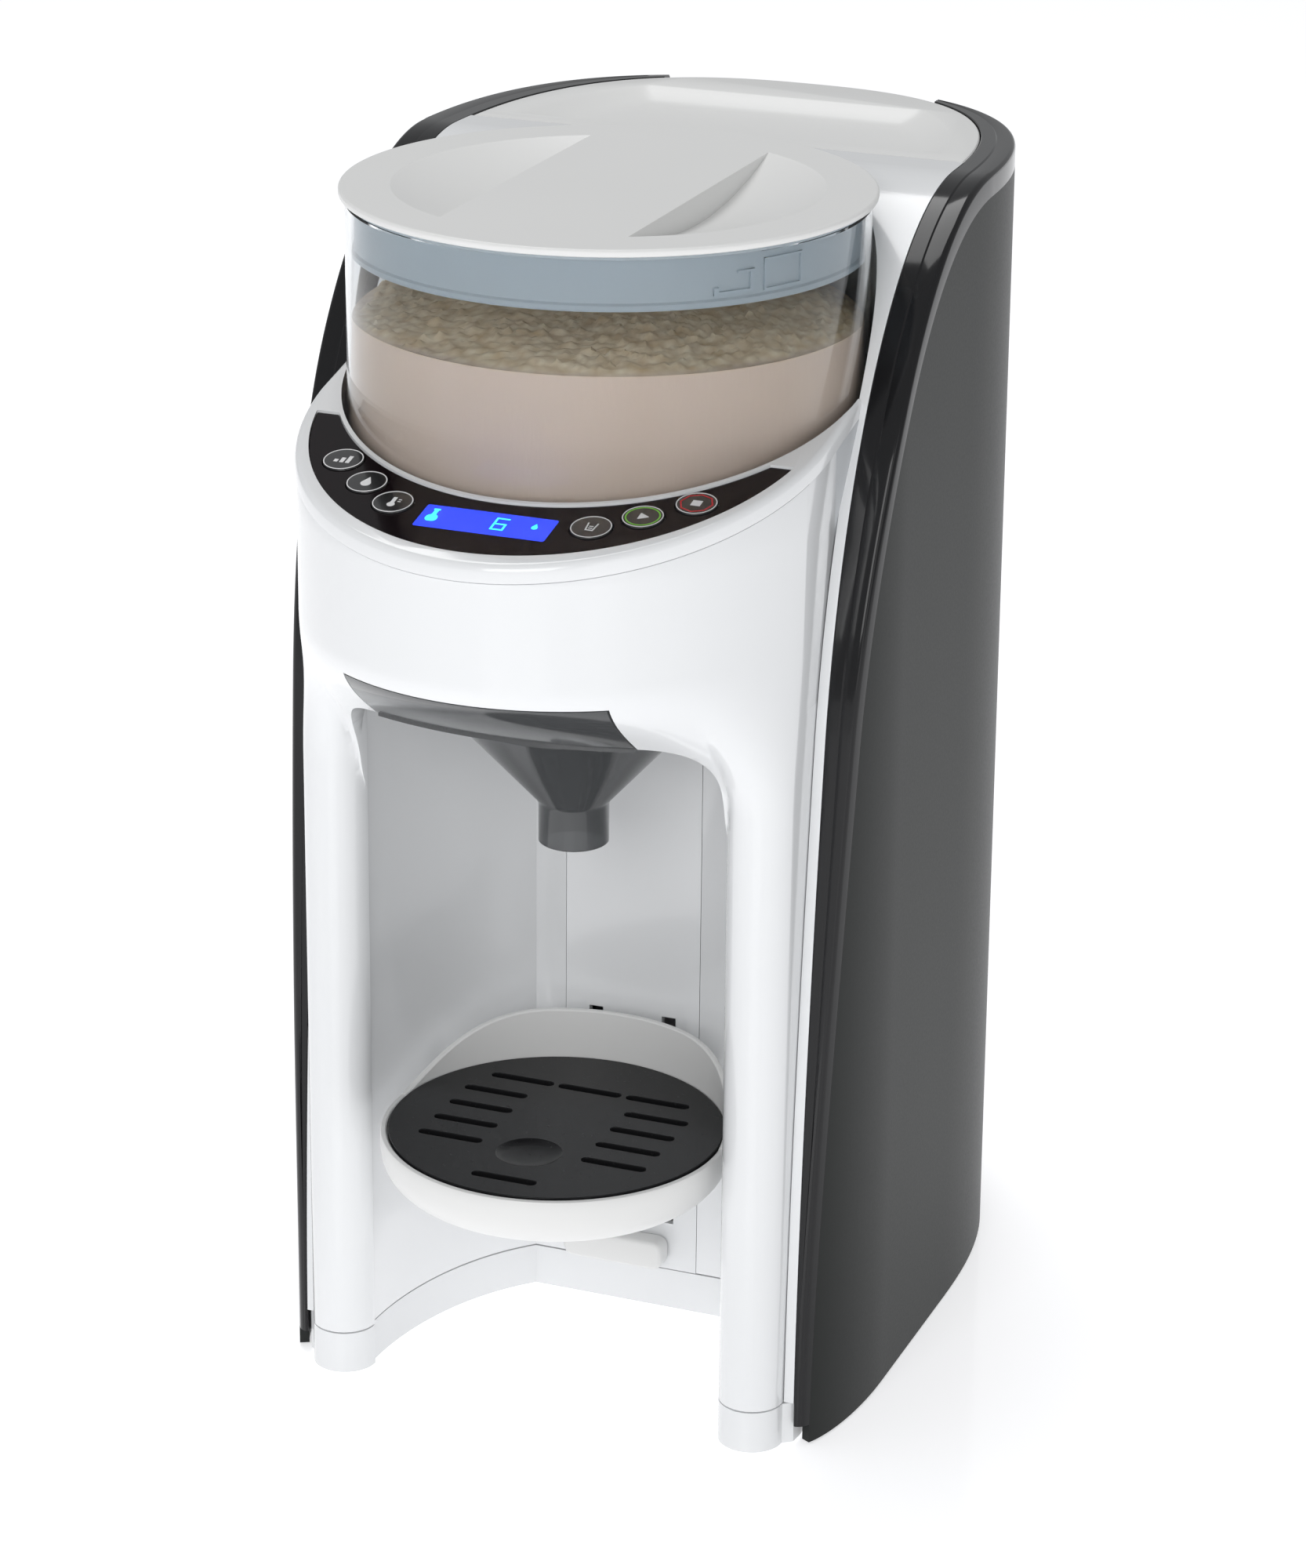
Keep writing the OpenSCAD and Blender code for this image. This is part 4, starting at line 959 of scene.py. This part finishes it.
class DISPENSER_OT_funnel(bpy.types.Operator):
    """Smoked funnel with its curved front plate"""
    bl_idname = "dispenser.funnel"
    bl_label = "Funnel"

    def execute(self, context):
        low, bend, edge, rim = SPOUT_LOW.z, 187.0, 216.0, 225.4
        spout, mouth, wall = 10.4, 37.0, 1.8
        cone = lathe([(spout, low + 0.3), (spout, bend - 0.8), (spout + 0.6, bend + 0.6), (mouth, edge), (mouth, rim),
                      (mouth - wall, rim), (mouth - wall, edge), (spout - 1.4, bend + 0.6), (spout - 1.5, low + 0.3),
                      (spout - 1.2, low), (spout - 0.3, low)], 0, OUTLET_Y, 128, True)
        xs = steps_between(-PLATE_X, PLATE_X, 44)
        rings = []
        for z in steps_between(PLATE_HIGH, PLATE_LOW, 24):
            rings.append([(x, fascia_y(x, z) - 0.05, z) for x in xs]
                         + [(x, fascia_y(x, z) + 1.3, z + 1.5) for x in reversed(xs)])
        plate = hull_of_rings(rings)
        front = [(x, fascia_y(x, PLATE_LOW) + 0.7) for x in xs]
        web = block(front + [(PLATE_X, -80), (32, OUTLET_Y), (-32, OUTLET_Y), (-PLATE_X, -80)],
                    PLATE_LOW - 1.4, PLATE_LOW + 0.2)
        carve(web, disc(0, OUTLET_Y, mouth - 0.9, 210, 230, 128))
        carve(plate, web, mode="UNION")
        carve(cone, plate, mode="UNION")
        settle(cone, "powder_funnel", "funnel_drawer", "smoked_plastic", "funnel", smooth=30)
        return {"FINISHED"}


class DISPENSER_OT_tray(bpy.types.Operator):
    """Drip tray with its splash wall, the slotted grid, and the release lever"""
    bl_idname = "dispenser.tray"
    bl_label = "Drip Tray, Grid and Lever"

    def execute(self, context):
        self.bowl()
        self.grid()
        self.lever()
        return {"FINISHED"}

    @staticmethod
    def bowl():
        top, rim = GRID_HIGH.z, GRID_R + 2.3
        under = bezier([(34, top - 19), (45, top - 18.4), (rim + 0.3, top - 14), (rim, top - 4)], 14)
        edge = [(rim, top - 1.1), (rim - 0.25, top - 0.6), (rim - 0.8, top - 0.4), (GRID_R + 0.9, top - 0.4)]
        ledge = [(GRID_R + 0.45, top - 0.8), (GRID_R + 0.4, top - 2.4), (GRID_R - 1.6, top - 2.4)]
        inside = [(GRID_R - 3, top - 9), (43, top - 14), (35.4, top - 16.8), (0, top - 16.8)]
        tray = lathe([(0, top - 19)] + under + edge + ledge + inside, 0, GRID_Y, 160)
        carve(tray, brick((-15.3, -60, 50), (15.3, 0, top - 18.2)))
        rings = []
        for a in steps_between(4, 176, 60):
            c, s = math.cos(math.radians(a)), math.sin(math.radians(a))
            crest = 15.8 * ease(rim * s, 1, rim * 0.92) - 0.2
            section = []
            for r, z in ((GRID_R + 0.4, top - 3), (rim - 0.05, top - 3), (rim - 0.05, top + crest - 0.5),
                         (rim - 0.35, top + crest - 0.1), (rim - 0.95, top + crest),
                         (GRID_R + 0.75, top + crest - 0.15), (GRID_R + 0.4, top + crest - 0.6)):
                section.append((r * c, GRID_Y + r * s, z))
            rings.append(section)
        splash = hull_of_rings(rings)
        carve(tray, splash, mode="UNION")
        settle(tray, "drip_bowl", "tray", "satin_white", "drip_tray", smooth=32)

    @staticmethod
    def grid():
        low, top, r = GRID_LOW.z, GRID_HIGH.z, GRID_R
        plate = disc(0, GRID_Y, r, low, top, 160)
        slots = []
        length, width, pitch = 20.3, 3.2, 11.4
        places = [(x, GRID_Y - 19 + pitch * i) for i in range(4) for x in (-26, 26)]
        places += [(x, GRID_Y + 26.6) for x in (-22, 0, 22)] + [(0, GRID_Y - 39.6)]
        for x, y in places:
            reach = (length - width) / 2
            line = arc(width / 2, x + reach, y, -90, 90, 8) + arc(width / 2, x - reach, y, 90, 270, 8)
            slots.append(block(line, low - 2, top + 2))
        dish = lathe([(0, top - 1.5), (4, top - 1.45), (7.4, top - 1.1), (9.2, top - 0.45), (9.9, top),
                      (9.9, top + 2), (0, top + 2)], 0, GRID_Y - 20.8, 64)
        carve(plate, join(*slots), dish)
        soften(plate, 0.25, 3, 40)
        settle(plate, "drip_grid_plate", "grid", "black_plastic", "drip_grid", "grid_black", smooth=30, even=True)

    @staticmethod
    def lever():
        low, high = cad("release_lever")
        bar_low, bar_high = 16.5, 26.0
        outline = fillet([(low.x, bar_low), (high.x, bar_low), (high.x, bar_high), (low.x, bar_high)], 3.6, 8)
        bar = block(outline, low.y, -11.3, "y")
        soften(bar, 1.3, 4, 50)
        stem = brick((-5, -11.4, 19), (5, -8.1, 24))
        foot = brick((-9, -8.2, 17), (9, -6, 26))
        lever = join(bar, stem, foot)
        settle(lever, "tray_lever", "lever", "satin_white", "release_lever", smooth=40)


class DISPENSER_OT_tank(bpy.types.Operator):
    """Water tank and its white lid with the shallow recess"""
    bl_idname = "dispenser.tank"
    bl_label = "Water Tank and Lid"

    def execute(self, context):
        low = cad("water_tank")[0]
        front = low.y
        inset = BAND_INSET + 0.5
        rings = []
        for t, z in ((1.2, low.z), (0.4, low.z + 0.4), (0, low.z + 1.2), (0, 349), (0.3, 349.7), (0.9, 350)):
            rings.append([(x, y, z) for x, y in rear_outline(inset + t, front + t)])
        tank = hull_of_rings(rings)
        carve(tank, block(rear_outline(inset + 2.2, front + 2.2), low.z + 2.4, 344),
              block(rear_outline(inset + 8, front + 8), 343, 352))
        knuckle = 2.4
        for side in (-1, 1):
            ear = [(HINGE_Y - 3.5, 346), (HINGE_Y + knuckle, 346), (HINGE_Y + knuckle, HINGE_Z)]
            ear += [(HINGE_Y + knuckle * math.cos(a), HINGE_Z + knuckle * math.sin(a))
                    for a in steps_between(0.2, 3.0, 10)]
            ear += [(HINGE_Y - 3.5, HINGE_Z - knuckle)]
            x0, x1 = sorted((side * 19, side * 25))
            carve(tank, block(ear, x0, x1, "x"), mode="UNION")
        carve(tank, self.hinge_hole(45), disc(0, 108, 5.0, low.z - 2, low.z + 5, 48))
        settle(tank, "water_tank_shell", "tank", "smoked_plastic", "water_tank", "tank_plastic", smooth=30)
        self.lid()
        return {"FINISHED"}

    @staticmethod
    def hinge_hole(reach):
        """A rod along the hinge, to cut the pin's hole with."""
        rod = disc(0, 0, HINGE_BORE, -reach, reach, 32)
        rod.data.transform(Matrix.Translation(Vector((0, HINGE_Y, HINGE_Z)) * MM)
                           @ Matrix.Rotation(math.pi / 2, 4, "Y"))
        return rod

    def lid(self):
        low, high = cad("tank_lid")
        inset = BAND_INSET + 0.3
        rings = []
        for t, z in ((0.5, low.z), (0, low.z + 0.5), (0, high.z - 1.0), (0.12, high.z - 0.5), (0.45, high.z - 0.14),
                     (1.0, high.z)):
            rings.append([(x, y, z) for x, y in rear_outline(inset + t, low.y + t)])
        lid = hull_of_rings(rings)
        rings = []
        for t, z in ((10.6, high.z - 4.1), (8.6, high.z - 3.9), (6.2, high.z - 3.2), (2.6, high.z - 1.3),
                     (0.7, high.z - 0.25), (0, high.z + 0.02), (-0.9, high.z + 1)):
            rings.append([(x, min(y, 112 - t), z) for x, y in rear_outline(20.5 + t, 57.0 + t * 0.7)])
        tools = [hull_of_rings(rings),
                 block([(x, min(y, 124)) for x, y in rear_outline(inset + 2.4, low.y + 4)], low.z - 1, high.z - 7)]
        for side in (-1, 1):
            x0, x1 = sorted((side * 18.6, side * 25.4))
            tools.append(brick((x0, HINGE_Y - 6, 340), (x1, 150, HINGE_Z + 3)))
        bridge = brick((-17, HINGE_Y - 3.2, HINGE_Z - 3), (17, HINGE_Y + 2.2, HINGE_Z - 1.5))
        carve(lid, *tools)
        carve(lid, bridge, mode="UNION")
        carve(lid, self.hinge_hole(40))
        settle(lid, "tank_cover_shell", "tank_cover", "satin_white", "tank_lid", smooth=26)


class DISPENSER_OT_stage(bpy.types.Operator):
    """Pale floor, soft studio lights and the camera"""
    bl_idname = "dispenser.stage"
    bl_label = "Studio Stage"

    def execute(self, context):
        look = context.scene.dispenser_look
        clear_selection()
        bpy.ops.mesh.primitive_circle_add(vertices=64, radius=14, fill_type="NGON", location=(0, 0, 0))
        floor = bpy.context.object
        floor.name = "studio_floor"
        floor.data.materials.append(finish("pale_floor", look.floor, 0.1, second=[c * 0.985 for c in look.floor],
                                           grain=60, depth=0.0005, spread=0.02, patch=0.8, glow=look.floor_glow))
        world = bpy.data.worlds.new("studio")
        world.use_nodes = True
        world.node_tree.nodes["Background"].inputs["Color"].default_value = (0.97, 0.985, 1.0, 1)
        world.node_tree.nodes["Background"].inputs["Strength"].default_value = look.room
        context.scene.world = world
        for name, place, power, width, height in (("key", (0.2, -2.2, 1.1), 17, 1.2, 1.2),
                                                  ("fill", (1.4, -1.6, 0.8), 2.5, 0.7, 1.4),
                                                  ("top", (-0.5, 0.6, 2.1), 14, 1.1, 1.1)):
            bpy.ops.object.light_add(type="AREA", location=place)
            light = bpy.context.object
            light.name = name + "_light"
            light.data.shape, light.data.size, light.data.size_y = "RECTANGLE", width, height
            light.data.energy = power
            aim = Vector((0, 0, 0.2)) - Vector(place)
            light.rotation_euler = aim.to_track_quat("-Z", "Y").to_euler()
        bpy.ops.object.camera_add(location=(0.48261, -1.23729, 0.67211))
        camera = bpy.context.object
        camera.rotation_mode = "QUATERNION"
        turned = Matrix.Rotation(math.radians(21.237), 4, "Z") @ Matrix.Rotation(math.radians(90 - 20.667), 4, "X")
        camera.rotation_quaternion = (turned @ Matrix.Rotation(math.radians(0.577), 4, "Z")).to_quaternion()
        camera.data.sensor_width, camera.data.lens = 36, 106.9
        camera.data.clip_start, camera.data.clip_end = 0.05, 60
        context.scene.camera = camera
        context.scene.view_settings.view_transform = "Standard"
        return {"FINISHED"}


class DispenserSizes(bpy.types.PropertyGroup):
    seam: FloatProperty(name="Seam", description="Gap between neighbouring mouldings", default=0.0005, unit="LENGTH")
    scoop_depth: FloatProperty(name="Scoop depth", description="Depth of the lid's finger scoops", default=0.0085,
                               unit="LENGTH")


class DispenserLook(bpy.types.PropertyGroup):
    white: FloatVectorProperty(name="Shell white", description="Gloss housings", subtype="COLOR",
                               default=(0.83, 0.84, 0.85))
    satin: FloatVectorProperty(name="Satin white", description="Lids, tray and lever", subtype="COLOR",
                               default=(0.80, 0.80, 0.79))
    side: FloatVectorProperty(name="Side grey", description="Side panels", subtype="COLOR",
                              default=(0.031, 0.033, 0.032))
    black: FloatVectorProperty(name="Band black", description="Edge bands", subtype="COLOR",
                               default=(0.010, 0.010, 0.011))
    floor: FloatVectorProperty(name="Floor", description="Studio floor", subtype="COLOR", default=(0.90, 0.90, 0.91))
    floor_glow: FloatProperty(name="Floor glow", description="How much the floor lights itself", default=0.6)
    room: FloatProperty(name="Room light", description="Strength of the even light around", default=0.42)


class DISPENSER_PT_pieces(bpy.types.Panel):
    """Lists the pieces in the sidebar"""
    bl_label = "Formula Dispenser"
    bl_space_type = "VIEW_3D"
    bl_region_type = "UI"
    bl_category = "Dispenser"

    def draw(self, context):
        for group in (context.scene.dispenser_sizes, context.scene.dispenser_look):
            for name in group.__annotations__:
                self.layout.prop(group, name)
        for operator in OPERATORS:
            self.layout.operator(operator.bl_idname)


OPERATORS = (DISPENSER_OT_finishes, DISPENSER_OT_front_housing, DISPENSER_OT_base_band, DISPENSER_OT_deck,
             DISPENSER_OT_side_shells, DISPENSER_OT_rear_cover, DISPENSER_OT_panel, DISPENSER_OT_container,
             DISPENSER_OT_funnel, DISPENSER_OT_tray, DISPENSER_OT_tank, DISPENSER_OT_stage)
CLASSES = (DispenserSizes, DispenserLook, *OPERATORS, DISPENSER_PT_pieces)


def register():
    for cls in CLASSES:
        bpy.utils.register_class(cls)
    bpy.types.Scene.dispenser_sizes = PointerProperty(type=DispenserSizes)
    bpy.types.Scene.dispenser_look = PointerProperty(type=DispenserLook)


def unregister():
    del bpy.types.Scene.dispenser_look
    del bpy.types.Scene.dispenser_sizes
    for cls in reversed(CLASSES):
        bpy.utils.unregister_class(cls)


def main():
    register()
    for operator in OPERATORS:
        group, name = operator.bl_idname.split(".")
        getattr(getattr(bpy.ops, group), name)()


if __name__ == "__main__":
    main()
